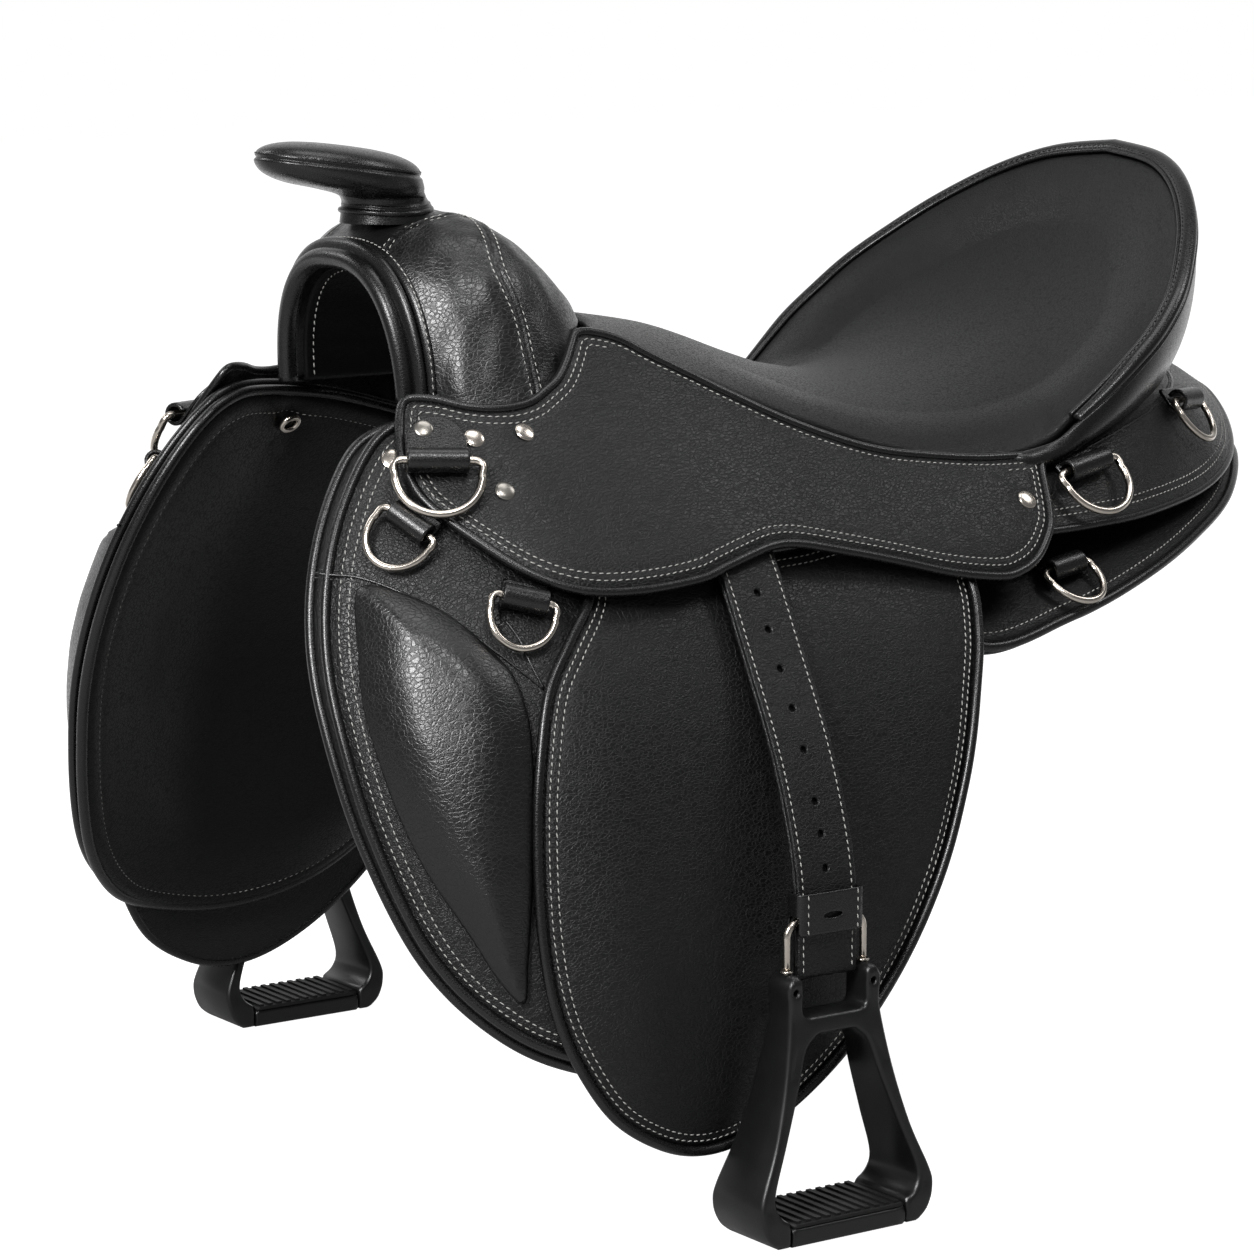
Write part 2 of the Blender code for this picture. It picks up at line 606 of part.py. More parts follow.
def cantle_back():
    """Leather band from under the rim down to the skirt."""
    count, rows = 14, 5
    top = rim_path(count, (6.5 * MM, -9 * MM), 10)
    foot = smooth_path([(point[0] + 2 * MM, point[1], point[2] + 4 * MM) for point in SKIRT_INNER[:2:-1]], count)
    points = []
    for row in range(rows):
        share = row / (rows - 1)
        for upper, lower in zip(top, foot):
            point = upper.lerp(Vector(lower), share)
            swell = 6 * MM * math.sin(math.pi * share)
            point += Vector((point.x, point.y - 0.1, 0)).normalized() * swell
            points.append(point)
    for row in range(rows):
        points[row * count].x = 0.0
    item = mirrored_patch("cantle_back", points, rows, count)
    thicken(item, 5 * MM, 1)
    return finish(item, black_leather)


def skirt_point(t, w, lift=0.0):
    """Point on the rear skirt, t from the jockey to the centre back and w from inner to outer edge."""
    def base(at, across):
        inner, outer = along(SKIRT_INNER, at), along(SKIRT_OUTER, at)
        point = inner.lerp(outer, across)
        point.z += 0.006 * math.sin(math.pi * across)
        return point

    run = base(min(t + 0.01, 1), w) - base(max(t - 0.01, 0), w)
    across = base(t, min(w + 0.01, 1)) - base(t, max(w - 0.01, 0))
    return base(t, w) + across.cross(run).normalized() * lift


def rear_skirt():
    count, rows = 20, 5
    points = []
    for row in range(rows):
        for index in range(count):
            point = skirt_point(1 - index / (count - 1), row / (rows - 1))
            if index == 0:
                point.x = 0.0
            points.append(point)
    item = mirrored_patch("rear_skirt", points, rows, count)
    thicken(item, SKIRT_THICK, -1)
    return finish(item, black_leather)


def pad_point(x, y, lift=0.0):
    """Point on top of a back panel, over its plan position."""
    def height(at_x, at_y):
        share = max(0.0, (at_x - 0.034) / 0.165)
        return PAD_TOP_Z - smooth_value(PAD_DROP, at_y) * share**1.5

    step = 1 * MM
    slope = Vector((-(height(x + step, y) - height(x - step, y)) / (2 * step),
                    -(height(x, y + step) - height(x, y - step)) / (2 * step), 1)).normalized()
    return Vector((x, y, height(x, y))) + slope * lift


def back_panel(side, label):
    """Flocked panel under the tree, pressed flat where it bears on the back."""
    outline = smooth_path(PAD_OUTLINE, 40, closed=True)
    places, faces, distances = fill_outline(outline, 0.030)
    item = mesh_piece("back_panel_" + label, [pad_point(place[0], place[1]) for place in places], faces, side)
    weights = [0.52 + 0.48 * math.sin(0.5 * math.pi * min(1.0, distance / 0.035)) for distance in distances]
    thicken(item, PAD_THICK, -1, weights)
    centre = pad_point(*BEARING_PLANE)
    normal = (pad_point(*BEARING_PLANE, 1.0) - centre).normalized()
    cutter = block_cutter("bearing_cutter_" + label, (0.1, 0.16, BEARING_BLOCK))
    place = centre - normal * (PAD_THICK - BEARING_CUT + 0.5 * BEARING_BLOCK)
    place.x *= side
    normal.x *= side
    cutter.matrix_world = Matrix.Translation(place) @ normal.to_track_quat("Z", "Y").to_matrix().to_4x4()
    cut_from(item, cutter)
    return finish(item, panel_leather)


def side_leather(side, label):
    """Panel, flap, knee block, fender and jockey of one side, from inside out."""
    front_panel = side_sheet("front_panel_" + label, side, PANEL_OUTLINE, 40, 0.036,
                             lambda y: -PANEL_BACKING, PANEL_PAD, -1, pad=0.05, thinnest=0.34)
    finish(front_panel, panel_leather)
    flap = side_sheet("flap_" + label, side, FLAP_OUTLINE, 38, 0.036, lambda y: 0.0, FLAP_THICK, -1)
    finish(flap, black_leather)
    knee = side_sheet("knee_block_" + label, side, KNEE_OUTLINE, 30, 0.018, lambda y: KNEE_LIFT, KNEE_RISE, 1,
                      pad=0.026, thinnest=0.22)
    finish(knee, black_leather)
    fender = side_sheet("fender_" + label, side, FENDER_OUTLINE, 36, 0.036, lambda y: FENDER_LIFT,
                        FENDER_THICK, 1)
    finish(fender, black_leather)
    jockey = side_sheet("jockey_" + label, side, JOCKEY_OUTLINE, 58, 0.022,
                        lambda y: smooth_value(JOCKEY_LIFT, y), JOCKEY_THICK, -1)
    finish(jockey, black_leather)


def flat_solid(name, outlines, half_width, frame, material, shape=None, bevel=0.0):
    """Flat outline with any holes, extruded both ways and placed by a frame."""
    curve = bpy.data.curves.new(name + "_outline", "CURVE")
    curve.dimensions = "2D"
    curve.fill_mode = "BOTH"
    curve.extrude = half_width
    for outline in outlines:
        spline = curve.splines.new("POLY")
        spline.points.add(len(outline) - 1)
        spline.use_cyclic_u = True
        for place, point in zip(spline.points, outline):
            place.co = (point[0], point[1], 0, 1)
    source = bpy.data.objects.new(name + "_outline", curve)
    cutters.objects.link(source)
    bpy.context.view_layer.update()
    mesh = bpy.data.meshes.new_from_object(source.evaluated_get(bpy.context.evaluated_depsgraph_get()))
    bpy.data.objects.remove(source)
    body = bmesh.new()
    body.from_mesh(mesh)
    bmesh.ops.remove_doubles(body, verts=body.verts, dist=1e-6)
    if shape:
        for vertex in body.verts:
            vertex.co = shape(vertex.co)
    bmesh.ops.recalc_face_normals(body, faces=body.faces)
    body.to_mesh(mesh)
    body.free()
    mesh.name = name
    item = bpy.data.objects.new(name, mesh)
    item.matrix_world = frame
    saddle.objects.link(item)
    if bevel:
        edge = item.modifiers.new("edges", "BEVEL")
        edge.width = bevel
        edge.segments = 1
        edge.limit_method = "ANGLE"
        edge.angle_limit = math.radians(50)
    return finish(item, material)


def frame_from(place, across, up, side):
    """Placing matrix with local X across and local Y up, mirrored for the off side."""
    place, across, up = Vector(place), Vector(across), Vector(up)
    if side == OFF:
        place.x, across.x, up.x = -place.x, -across.x, -up.x
    out = across.cross(up).normalized()
    turn = Matrix((across.normalized(), up.normalized(), out)).transposed()
    return Matrix.Translation(place) @ turn.to_4x4()


def strap_middle(z):
    """Distance out from the centre plane and normal of the strap's mid line at a height."""
    lift = FENDER_LIFT + FENDER_THICK + STRAP_OFF_FENDER + PLY
    point = side_point(STRAP_Y, z, lift)
    hang = min(max((-0.05 - z) / 0.13, 0.0), 1.0)
    point.x += STRAP_STAND_OFF * hang * hang * (3 - 2 * hang)
    return point


def arc(centre, radius, start, end, count):
    return [(centre[0] + radius * math.cos(angle), centre[1] + radius * math.sin(angle))
            for angle in np.radians(np.linspace(start, end, count))]


def stirrup_leather(side, label):
    """Two plies looped over the bar above, with an eye for the bail and a folded tab below."""
    pivot = pivot_point()
    out = side_normal(STRAP_Y, PIVOT_Z)
    down = Vector((out.z, 0, -out.x))
    slot_half = 0.5 * BAR_THICK + SLOT_GAP
    half_loop = slot_half + PLY

    def local(point):
        return (point.x - pivot.x, point.z - pivot.z)

    def loop_point(a, b):
        return local(pivot + out * a - down * b)

    outer, inner = [], []
    crown = [loop_point(half_loop * math.cos(angle), SLOT_HALF_HIGH + half_loop * math.sin(angle))
             for angle in np.radians(np.linspace(0, 180, 9))]
    eye = Vector((bail_pivot().x, 0, BAIL_PIVOT_Z))
    for z in np.linspace(PIVOT_Z - 0.030, BAIL_PIVOT_Z + 0.010, 13):
        point = strap_middle(z)
        ahead = (strap_middle(z - 2 * MM) - strap_middle(z + 2 * MM)).normalized()
        across = Vector((-ahead.z, 0, ahead.x))
        outer.append(local(point + across * PLY))
        inner.append(local(point - across * PLY))
    eye_local = (eye.x - pivot.x, eye.z - pivot.z)
    right_eye = arc(eye_local, EYE_OUTER, -52, 52, 5)
    left_eye = arc(eye_local, EYE_OUTER, 128, 232, 5)
    tab_end = eye_local[1] - TAB_BELOW + PLY
    tab = arc((eye_local[0], tab_end), PLY + 0.4 * MM, 180, 360, 7)
    side_low = -SLOT_HALF_HIGH + 3 * MM
    border = crown + [loop_point(-half_loop, side_low)] + inner + left_eye + tab + right_eye
    border += outer[::-1] + [loop_point(half_loop, side_low)]
    slot = [loop_point(slot_half * math.cos(angle), math.copysign(SLOT_HALF_HIGH - 1 * MM, math.sin(angle))
                       + slot_half * math.sin(angle)) for angle in np.radians(np.arange(15, 375, 30))]
    hole = arc(eye_local, EYE_HOLE, 0, 324, 10)
    frame = frame_from(pivot, (1, 0, 0), (0, 0, 1), side)

    def lean(point):
        return Vector((point.x, point.y, point.z - side * STRAP_LEAN * max(point.y, eye_local[1])))

    return flat_solid("stirrup_leather_" + label, [border, slot, hole], STRAP_HALF, frame, black_leather,
                      lean)


def pivot_point():
    """Centre of the stirrup bar, on the hinge of the stirrup leather."""
    return side_point(STRAP_Y, PIVOT_Z, LOOP_STAND_OFF + PLY + SLOT_GAP + 0.5 * BAR_THICK)


def bail_pivot():
    return Vector((strap_middle(BAIL_PIVOT_Z).x, STRAP_Y + STRAP_LEAN * (BAIL_PIVOT_Z - PIVOT_Z), BAIL_PIVOT_Z))


def keeper(side, label):
    """Leather band round both plies and the eye, notched at its sides for the bail."""
    clear_x, clear_y = EYE_OUTER + 0.4 * MM, STRAP_HALF + 0.6 * MM
    wall_x, wall_y = clear_x + KEEPER_WALL, clear_y + KEEPER_WALL
    band = [(-wall_x, -wall_y), (wall_x, -wall_y), (wall_x, wall_y), (-wall_x, wall_y)]
    hole = [(-clear_x, -clear_y), (clear_x, -clear_y), (clear_x, clear_y), (-clear_x, clear_y)]
    place = bail_pivot()
    place.z += 0.4 * KEEPER_HALF_HIGH
    frame = frame_from(place, (1, 0, 0), (0, 1, 0), side)
    item = flat_solid("keeper_" + label, [band, hole], KEEPER_HALF_HIGH, frame, black_leather)
    drop = 2 * KEEPER_HALF_HIGH
    notch = block_cutter("bail_notch_" + label, (2 * KEEPER_NOTCH, 2 * BAIL_LEG, drop))
    pivot = bail_pivot()
    notch.location = (side * pivot.x, pivot.y, pivot.z + BAIL_WIRE + 0.7 * MM - 0.5 * drop)
    return cut_from(item, notch)


def cutter_object(name, mesh):
    cutter = bpy.data.objects.new(name, mesh)
    cutter.hide_render = True
    cutter.display_type = "WIRE"
    cutters.objects.link(cutter)
    return cutter


def block_cutter(name, size):
    mesh = bpy.data.meshes.new(name)
    shape = bmesh.new()
    bmesh.ops.create_cube(shape, size=1.0)
    bmesh.ops.scale(shape, vec=size, verts=shape.verts)
    shape.to_mesh(mesh)
    shape.free()
    return cutter_object(name, mesh)


def cut_from(item, cutter):
    cut = item.modifiers.new("cut", "BOOLEAN")
    cut.object = cutter
    cut.operation = "DIFFERENCE"
    return item


def stirrup_bar(side, label):
    """Steel bar on two legs, each with a foot riveted down through the flap."""
    out = side_normal(STRAP_Y, PIVOT_Z)
    place = pivot_point()
    sole = 0.8 * MM - (place - side_point(STRAP_Y, PIVOT_Z, 0)).length
    instep = sole + BAR_FOOT_THICK
    bar_top = 0.5 * BAR_THICK
    half = [(BAR_LEG_IN, -bar_top), (BAR_LEG_IN, sole), (BAR_FOOT_OUT, sole), (BAR_FOOT_OUT, instep),
            (BAR_LEG_OUT, instep), (BAR_LEG_OUT, bar_top)]
    outline = half + [(-a, b) for a, b in reversed(half)]
    frame = frame_from(place, (0, 1, 0), out, side)
    return flat_solid("stirrup_bar_" + label, [outline], 0.5 * BAR_HIGH, frame, steel, bevel=0.4 * MM)


def stirrup_bail(side, label):
    """Bent wire: the top bar in the leather's eye, the legs down into the ears."""
    leg, bend = BAIL_LEG, BAIL_BEND
    foot = EAR_TOP - SOCKET_DEPTH + 1 * MM
    path = [(-leg, foot), (-leg, -bend)]
    path += arc((-leg + bend, -bend), bend, 162, 108, 3)
    path += [(-leg + bend, 0), (leg - bend, 0)]
    path += arc((leg - bend, -bend), bend, 72, 18, 3)
    path += [(leg, -bend), (leg, foot)]
    pivot = bail_pivot()
    points = [(side * pivot.x, pivot.y + y, pivot.z + z) for y, z in path]
    item = tube("stirrup_bail_" + label, points, BAIL_WIRE, nickel)
    return rest_origin(item, Vector((side * pivot.x, pivot.y, pivot.z)))


def rest_origin(item, place):
    """Move an object's origin to its joint, leaving its shape where it is."""
    if item.type == "MESH":
        item.data.transform(Matrix.Translation(-place))
    else:
        for spline in item.data.splines:
            for point in spline.points:
                point.co = (*(Vector(point.co[:3]) - place), 1)
    item.location = place
    return item


def stirrup_frame(side, label):
    """Moulded frame: two ears, crossbar and arms that widen and deepen down to the feet."""
    outer_half = [(NOTCH_HALF, NOTCH_FLOOR), (NOTCH_HALF, EAR_TOP - 3 * MM),
                  (NOTCH_HALF + 3 * MM, EAR_TOP), (EAR_HALF - 5 * MM, EAR_TOP), (EAR_HALF - 1 * MM, EAR_TOP - 3 * MM),
                  (EAR_HALF, EAR_TOP - 9 * MM)]
    arm_out = smooth_path([(EAR_HALF, EAR_TOP - 9 * MM), (EAR_HALF - 0.5 * MM, NOTCH_FLOOR),
                           (EAR_HALF + 5 * MM, -80 * MM), (EAR_HALF + 14 * MM, -112 * MM),
                           (FOOT_HALF - 1 * MM, -138 * MM), (FOOT_HALF, -148 * MM),
                           (FOOT_HALF - 4 * MM, -159 * MM), (TREAD_HALF + 8 * MM, STIRRUP_FOOT)], 15)
    arm_in = smooth_path([(TREAD_HALF + GAP, TREAD_TOP), (TREAD_HALF + 7 * MM, -147 * MM),
                          (TREAD_HALF + 9 * MM, -137 * MM), (EAR_HALF + 6.5 * MM, -112 * MM),
                          (EAR_HALF - 4 * MM, -84 * MM), (EAR_HALF - 10 * MM, -66 * MM),
                          (EAR_HALF - 17 * MM, CROSSBAR_UNDER - 1 * MM)], 13)
    half = outer_half[:-1] + [tuple(point) for point in arm_out]
    half += [(TREAD_HALF + GAP, STIRRUP_FOOT)] + [tuple(point) for point in arm_in]
    half += [(0.4 * EAR_HALF, CROSSBAR_UNDER)]
    outline = half + [(-a, b) for a, b in reversed(half)]

    def depth(point):
        share = min(max((NOTCH_FLOOR - point.y) / (NOTCH_FLOOR - TREAD_TOP), 0.0), 1.0)
        wanted = DEPTH_AT_EAR + (DEPTH_AT_TREAD - DEPTH_AT_EAR) * share
        return Vector((point.x, point.y, math.copysign(0.5 * wanted, point.z)))

    frame = frame_from(bail_pivot(), (0, 1, 0), (0, 0, 1), side)
    item = flat_solid("stirrup_frame_" + label, [outline], 0.5 * DEPTH_AT_EAR, frame, moulded_black, depth,
                      bevel=1.6 * MM)
    ear_sockets(item, side, label)
    return item


def ear_sockets(item, side, label):
    """Sockets in both ears for the legs of the bail."""
    pivot = bail_pivot()
    for end, place in ((-1, "front"), (1, "rear")):
        name = "ear_socket_%s_%s" % (label, place)
        mesh = bpy.data.meshes.new(name)
        shape = bmesh.new()
        bmesh.ops.create_cone(shape, cap_ends=True, segments=12, radius1=SOCKET, radius2=SOCKET,
                              depth=2 * SOCKET_DEPTH)
        shape.to_mesh(mesh)
        shape.free()
        cutter = cutter_object(name, mesh)
        cutter.location = (side * pivot.x, pivot.y + end * BAIL_LEG, pivot.z + EAR_TOP)
        cut_from(item, cutter)


def stirrup_tread(side, label):
    """Tread bar between the two feet of the frame."""
    outline = [(-TREAD_HALF, STIRRUP_FOOT), (TREAD_HALF, STIRRUP_FOOT), (TREAD_HALF, TREAD_TOP),
               (-TREAD_HALF, TREAD_TOP)]
    frame = frame_from(bail_pivot(), (0, 1, 0), (0, 0, 1), side)
    return flat_solid("stirrup_tread_" + label, [outline], 0.5 * DEPTH_AT_TREAD, frame, moulded_black, bevel=1.6 * MM)


def tangent_frame(point_at, turn):
    """Place, bar direction and outward direction on a surface given as point_at(along, out, lift)."""
    place = point_at(0, 0)
    out = (point_at(0, 1.0) - place).normalized()
    bar = point_at(0.004, 0) - point_at(-0.004, 0)
    bar = (bar - out * bar.dot(out)).normalized()
    return place, Matrix.Rotation(math.radians(turn), 3, out) @ bar, out


def ring_frames():
    """Name, ring size, tab length and hinge frame of each near-side ring."""
    rise = ROLL_RADIUS + 0.8 * MM
    frames = []
    for name, size, tab, y, z, lift, turn in SIDE_RINGS:
        frames.append((name, size, tab, tangent_frame(
            lambda run, up: side_point(y + run, z, lift + rise + up), turn)))
    for name, size, tab, t, w, turn in SKIRT_RINGS:
        frames.append((name, size, tab, tangent_frame(lambda run, up: skirt_point(t + run, w, rise + up), turn)))
    name, size, tab, x, y, turn = PANEL_RING
    frames.append((name, size, tab, tangent_frame(lambda run, up: pad_point(x, y + run, rise + up), turn)))
    return frames


def hanging(bar, out):
    """Direction down the leather, square to a ring's bar."""
    down = bar.cross(out).normalized()
    return -down if down.z > 0 else down


def d_ring(side, label, name, size, hinge):
    """Bent wire ring with a straight bar, hanging from its leather roll."""
    wire, half, drop = size
    place, bar, out = hinge
    down = hanging(bar, out) * math.cos(RING_LEAN) - out * math.sin(RING_LEAN)
    shoulder = 0.3 * drop
    path = [(-half + 1.5 * wire, 0), (half - 1.5 * wire, 0)]
    path += [(half * math.cos(angle), shoulder + (drop - shoulder) * math.sin(angle))
             for angle in np.radians(np.linspace(0, 180, 11))]
    points = [place + bar * a + down * b for a, b in path]
    points = [Vector((side * point.x, point.y, point.z)) for point in points]
    item = tube("ring_%s_%s" % (name, label), points, wire, nickel, sides=1)
    item.data.splines[0].use_cyclic_u = True
    return rest_origin(item, Vector((side * place.x, place.y, place.z)))


def ring_roll(side, label, name, size, tab, hinge):
    """Leather folded round the bar of a ring, with a tab stitched down above it."""
    wire, half, drop = size
    place, bar, out = hinge
    outline = arc((0, 0), ROLL_RADIUS, -150, 62, 10)
    outline += [(-ROLL_RADIUS + TAB_THICK, ROLL_RADIUS + 2.5 * MM), (-ROLL_RADIUS + TAB_THICK, tab),
                (-ROLL_RADIUS, tab)]
    hole = arc((0, 0), wire + 0.7 * MM, 0, 315, 8)
    frame = frame_from(place, out, -hanging(bar, out), side)
    return flat_solid("ring_roll_%s_%s" % (name, label), [outline, hole], ROLL_SHARE * half, frame, black_leather)


def build_side(side, label):
    side_leather(side, label)
    back_panel(side, label)
    stirrup_bar(side, label)
    stirrup_leather(side, label)
    keeper(side, label)
    stirrup_bail(side, label)
    stirrup_frame(side, label)
    stirrup_tread(side, label)
    for name, size, tab, hinge in ring_frames():
        d_ring(side, label, name, size, hinge)
        ring_roll(side, label, name, size, tab, hinge)


clear_scene()
saddle = make_collection("endurance_saddle")
cutters = make_collection("cutters")
black_leather = make_material("black_leather", (0.018, 0.018, 0.019), 0.48)
panel_leather = make_material("panel_leather", (0.022, 0.022, 0.023), 0.55)
lining_leather = make_material("lining_leather", (0.016, 0.016, 0.017), 0.6)
piping_leather = make_material("piping_leather", (0.014, 0.014, 0.015), 0.4)
tree_fibre = make_material("tree_fibre", (0.06, 0.055, 0.05), 0.7)
steel = make_material("steel", (0.45, 0.45, 0.46), 0.4, 1.0)
nickel = make_material("nickel", (0.78, 0.74, 0.68), 0.22, 1.0)
moulded_black = make_material("moulded_black", (0.02, 0.02, 0.021), 0.42)

seat_cushion()
saddle_tree()
swell_cover()
gullet_lining()
pommel_arch()
arch_binding()
horn_neck()
horn_cap()
cantle_binding()
cantle_back()
rear_skirt()
for side, label in SIDES:
    build_side(side, label)
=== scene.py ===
# %% [markdown]
# # A black endurance saddle
# The solids of the saddle are already made and packed. This lesson dresses them: every leather gets its rolled
# edge, its grain and its sewing, and the metal gets its polish. All lengths are metres, +Z is up, the horse's
# head is towards -Y and the near side is +X. Flat leathers are drawn as outlines in (y, z) and laid on the
# curved side of the saddle, as a saddler lays a cut piece on the tree.

import math

import bmesh
import bpy
import numpy as np
from mathutils import Matrix, Vector
from mathutils.geometry import delaunay_2d_cdt


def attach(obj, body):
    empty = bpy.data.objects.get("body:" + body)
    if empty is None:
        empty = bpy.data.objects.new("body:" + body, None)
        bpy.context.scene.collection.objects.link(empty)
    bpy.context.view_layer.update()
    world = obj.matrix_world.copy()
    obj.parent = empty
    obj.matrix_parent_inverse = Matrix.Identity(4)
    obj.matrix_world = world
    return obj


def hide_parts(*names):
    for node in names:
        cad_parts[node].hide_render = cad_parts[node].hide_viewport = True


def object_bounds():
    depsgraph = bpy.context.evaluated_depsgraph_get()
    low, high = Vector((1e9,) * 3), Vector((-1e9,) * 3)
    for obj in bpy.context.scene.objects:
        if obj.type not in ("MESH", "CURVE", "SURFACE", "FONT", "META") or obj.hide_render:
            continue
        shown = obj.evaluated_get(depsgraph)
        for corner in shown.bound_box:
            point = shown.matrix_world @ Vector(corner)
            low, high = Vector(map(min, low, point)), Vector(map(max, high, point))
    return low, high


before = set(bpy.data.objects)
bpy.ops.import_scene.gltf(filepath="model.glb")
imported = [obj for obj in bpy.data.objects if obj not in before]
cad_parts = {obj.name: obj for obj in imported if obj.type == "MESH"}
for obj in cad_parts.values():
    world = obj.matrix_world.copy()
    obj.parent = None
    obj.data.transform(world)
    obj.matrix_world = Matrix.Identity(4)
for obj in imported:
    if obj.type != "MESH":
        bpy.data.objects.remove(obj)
cad_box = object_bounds()
MM = 0.001
NEAR, OFF = 1, -1
SIDES = ((NEAR, "left"), (OFF, "right"))

# %% [markdown]
# ## Camera, floor and light
# Black leather shows its shape only by what it reflects, so the lamps are large and soft. A strong one high in
# front throws the bright band on the knee block and the swell, one overhead and one at the near front lift the
# seat and the jockey, and two weak ones, behind on the near side and in front on the off side, draw a line of
# light on the edges. The floor and backdrop are one white sheet. Seen directly it is pure white, and it mirrors
# in the leather only from behind the saddle: a white room all round would lay a grey veil over the black.

# %% Camera
PICTURE_WIDTH, SENSOR_WIDTH = 1254, 36
VIEW_TURN, VIEW_RISE = math.radians(55), math.radians(9.5)
VIEW_FOCAL, SCALE_AT_TARGET = 4400, 1750  # pixels, and pixels a metre
VIEW_TARGET = Vector((0, -0.06, -0.08))
VIEW_DISTANCE = VIEW_FOCAL / SCALE_AT_TARGET


def in_scene(name, data):
    """New object with its data, linked to the scene."""
    item = bpy.data.objects.new(name, data)
    bpy.context.scene.collection.objects.link(item)
    return item


ahead = Vector((-math.sin(VIEW_TURN) * math.cos(VIEW_RISE), math.cos(VIEW_TURN) * math.cos(VIEW_RISE),
                -math.sin(VIEW_RISE)))
camera = in_scene("camera", bpy.data.cameras.new("camera"))
camera.data.sensor_width = SENSOR_WIDTH
camera.data.lens = SENSOR_WIDTH * VIEW_FOCAL / PICTURE_WIDTH
camera.location = VIEW_TARGET - ahead * VIEW_DISTANCE
camera.rotation_euler = ahead.to_track_quat("-Z", "Y").to_euler()
bpy.context.scene.camera = camera
bpy.context.scene.view_settings.view_transform = "Standard"
print("lens %.1f mm at %.2f m" % (camera.data.lens, VIEW_DISTANCE))

# %% Lamps
SADDLE_MIDDLE = Vector((0, 0, -0.05))
LAMPS = (  # name, place, width and height, watts
    ("key_lamp", (0.95, -2.05, 1.25), (0.6, 0.9), 72),
    ("top_lamp", (0.1, 0.1, 2.2), (0.9, 1.3), 12),
    ("front_lamp", (1.5, -0.7, 1.9), (0.4, 0.6), 18),
    ("side_lamp", (0.60, 0.90, 1.20), (0.35, 0.6), 4.6),
    ("rim_lamp", (-1.7, -1.1, 1.6), (0.5, 1.2), 12))
for name, place, size, watts in LAMPS:
    lamp = bpy.data.lights.new(name, "AREA")
    lamp.shape = "RECTANGLE"
    lamp.size, lamp.size_y = size
    lamp.energy = watts
    item = in_scene(name, lamp)
    item.location = place
    item.rotation_euler = (SADDLE_MIDDLE - Vector(place)).to_track_quat("-Z", "Y").to_euler()
print("lamps:", len(LAMPS))


# %% Backdrop that looks white and lights little
def node(tree, kind, inputs=None, **settings):
    """New node with its settings, and plain values for its inputs by name or number."""
    made = tree.nodes.new(kind)
    for name, value in settings.items():
        setattr(made, name, value)
    for name, value in (inputs or {}).items():
        made.inputs[name].default_value = value
    return made


def wire(tree, *pairs):
    for start, end in pairs:
        tree.links.new(start, end)


def new_surface(name, fixed):
    """New material with its tree and its shader, on which the plain values are set."""
    material = bpy.data.materials.new(name)
    material.use_nodes = True
    shader = material.node_tree.nodes["Principled BSDF"]
    for socket, value in fixed.items():
        shader.inputs[socket].default_value = value
    return material, material.node_tree, shader


WHITE, SEEN_WHITE = (1, 1, 1, 1), 1.0
SKY_ON_OBJECT, FLOOR_ON_OBJECT = 0.20, 0.0
FLOOR_HALF = 9


def seen_strength(tree, plain, backdrop):
    """Strength for the camera and glass, and for mirrors on the backdrop's half of the studio."""
    path = node(tree, "ShaderNodeLightPath")
    mirrored = node(tree, "ShaderNodeMath", operation="MULTIPLY")
    first = node(tree, "ShaderNodeMath", operation="MAXIMUM")
    second = node(tree, "ShaderNodeMath", operation="MAXIMUM")
    blend = node(tree, "ShaderNodeMapRange", {"To Min": plain, "To Max": SEEN_WHITE})
    wire(tree, (path.outputs["Is Glossy Ray"], mirrored.inputs[0]), (backdrop, mirrored.inputs[1]),
         (path.outputs["Is Camera Ray"], first.inputs[0]), (path.outputs["Is Transmission Ray"], first.inputs[1]),
         (first.outputs[0], second.inputs[0]), (mirrored.outputs[0], second.inputs[1]),
         (second.outputs[0], blend.inputs["Value"]))
    return blend.outputs["Result"]


def behind_object(tree, output, low, high):
    """Share from 0 to 1 of being on the far side of the saddle from the camera."""
    place = node(tree, "ShaderNodeTexCoord").outputs[output]
    along = node(tree, "ShaderNodeVectorMath", {1: (-math.sin(VIEW_TURN), math.cos(VIEW_TURN), 0)},
                 operation="DOT_PRODUCT")
    share = node(tree, "ShaderNodeMapRange", {"From Min": low, "From Max": high}, interpolation_type="SMOOTHSTEP")
    wire(tree, (place, along.inputs[0]), (along.outputs["Value"], share.inputs["Value"]))
    return share.outputs["Result"]


world = bpy.data.worlds.new("studio")
bpy.context.scene.world = world
world.use_nodes = True
sky = world.node_tree.nodes["Background"]
sky.inputs["Color"].default_value = WHITE
sky_seen = seen_strength(world.node_tree, SKY_ON_OBJECT, behind_object(world.node_tree, "Generated", 0.5, 0.9))
wire(world.node_tree, (sky_seen, sky.inputs["Strength"]))

FLOOR_Z = cad_box[0][2] - 0.5 * MM
floor_mesh = bpy.data.meshes.new("floor")
floor_corners = [(x * FLOOR_HALF, y * FLOOR_HALF, FLOOR_Z) for x, y in ((-1, -1), (1, -1), (1, 1), (-1, 1))]
floor_mesh.from_pydata(floor_corners, [], [(0, 1, 2, 3)])
floor = in_scene("floor", floor_mesh)
paper, paper_tree, paper_shader = new_surface("white_paper", {
    "Base Color": (0.40, 0.40, 0.40, 1), "Roughness": 0.9, "Specular IOR Level": 0.1, "Emission Color": WHITE})
paper_seen = seen_strength(paper_tree, FLOOR_ON_OBJECT, behind_object(paper_tree, "Object", 0.0, 1.2))
wire(paper_tree, (paper_seen, paper_shader.inputs["Emission Strength"]))
floor_mesh.materials.append(paper)
print("floor at %.4f m" % FLOOR_Z)

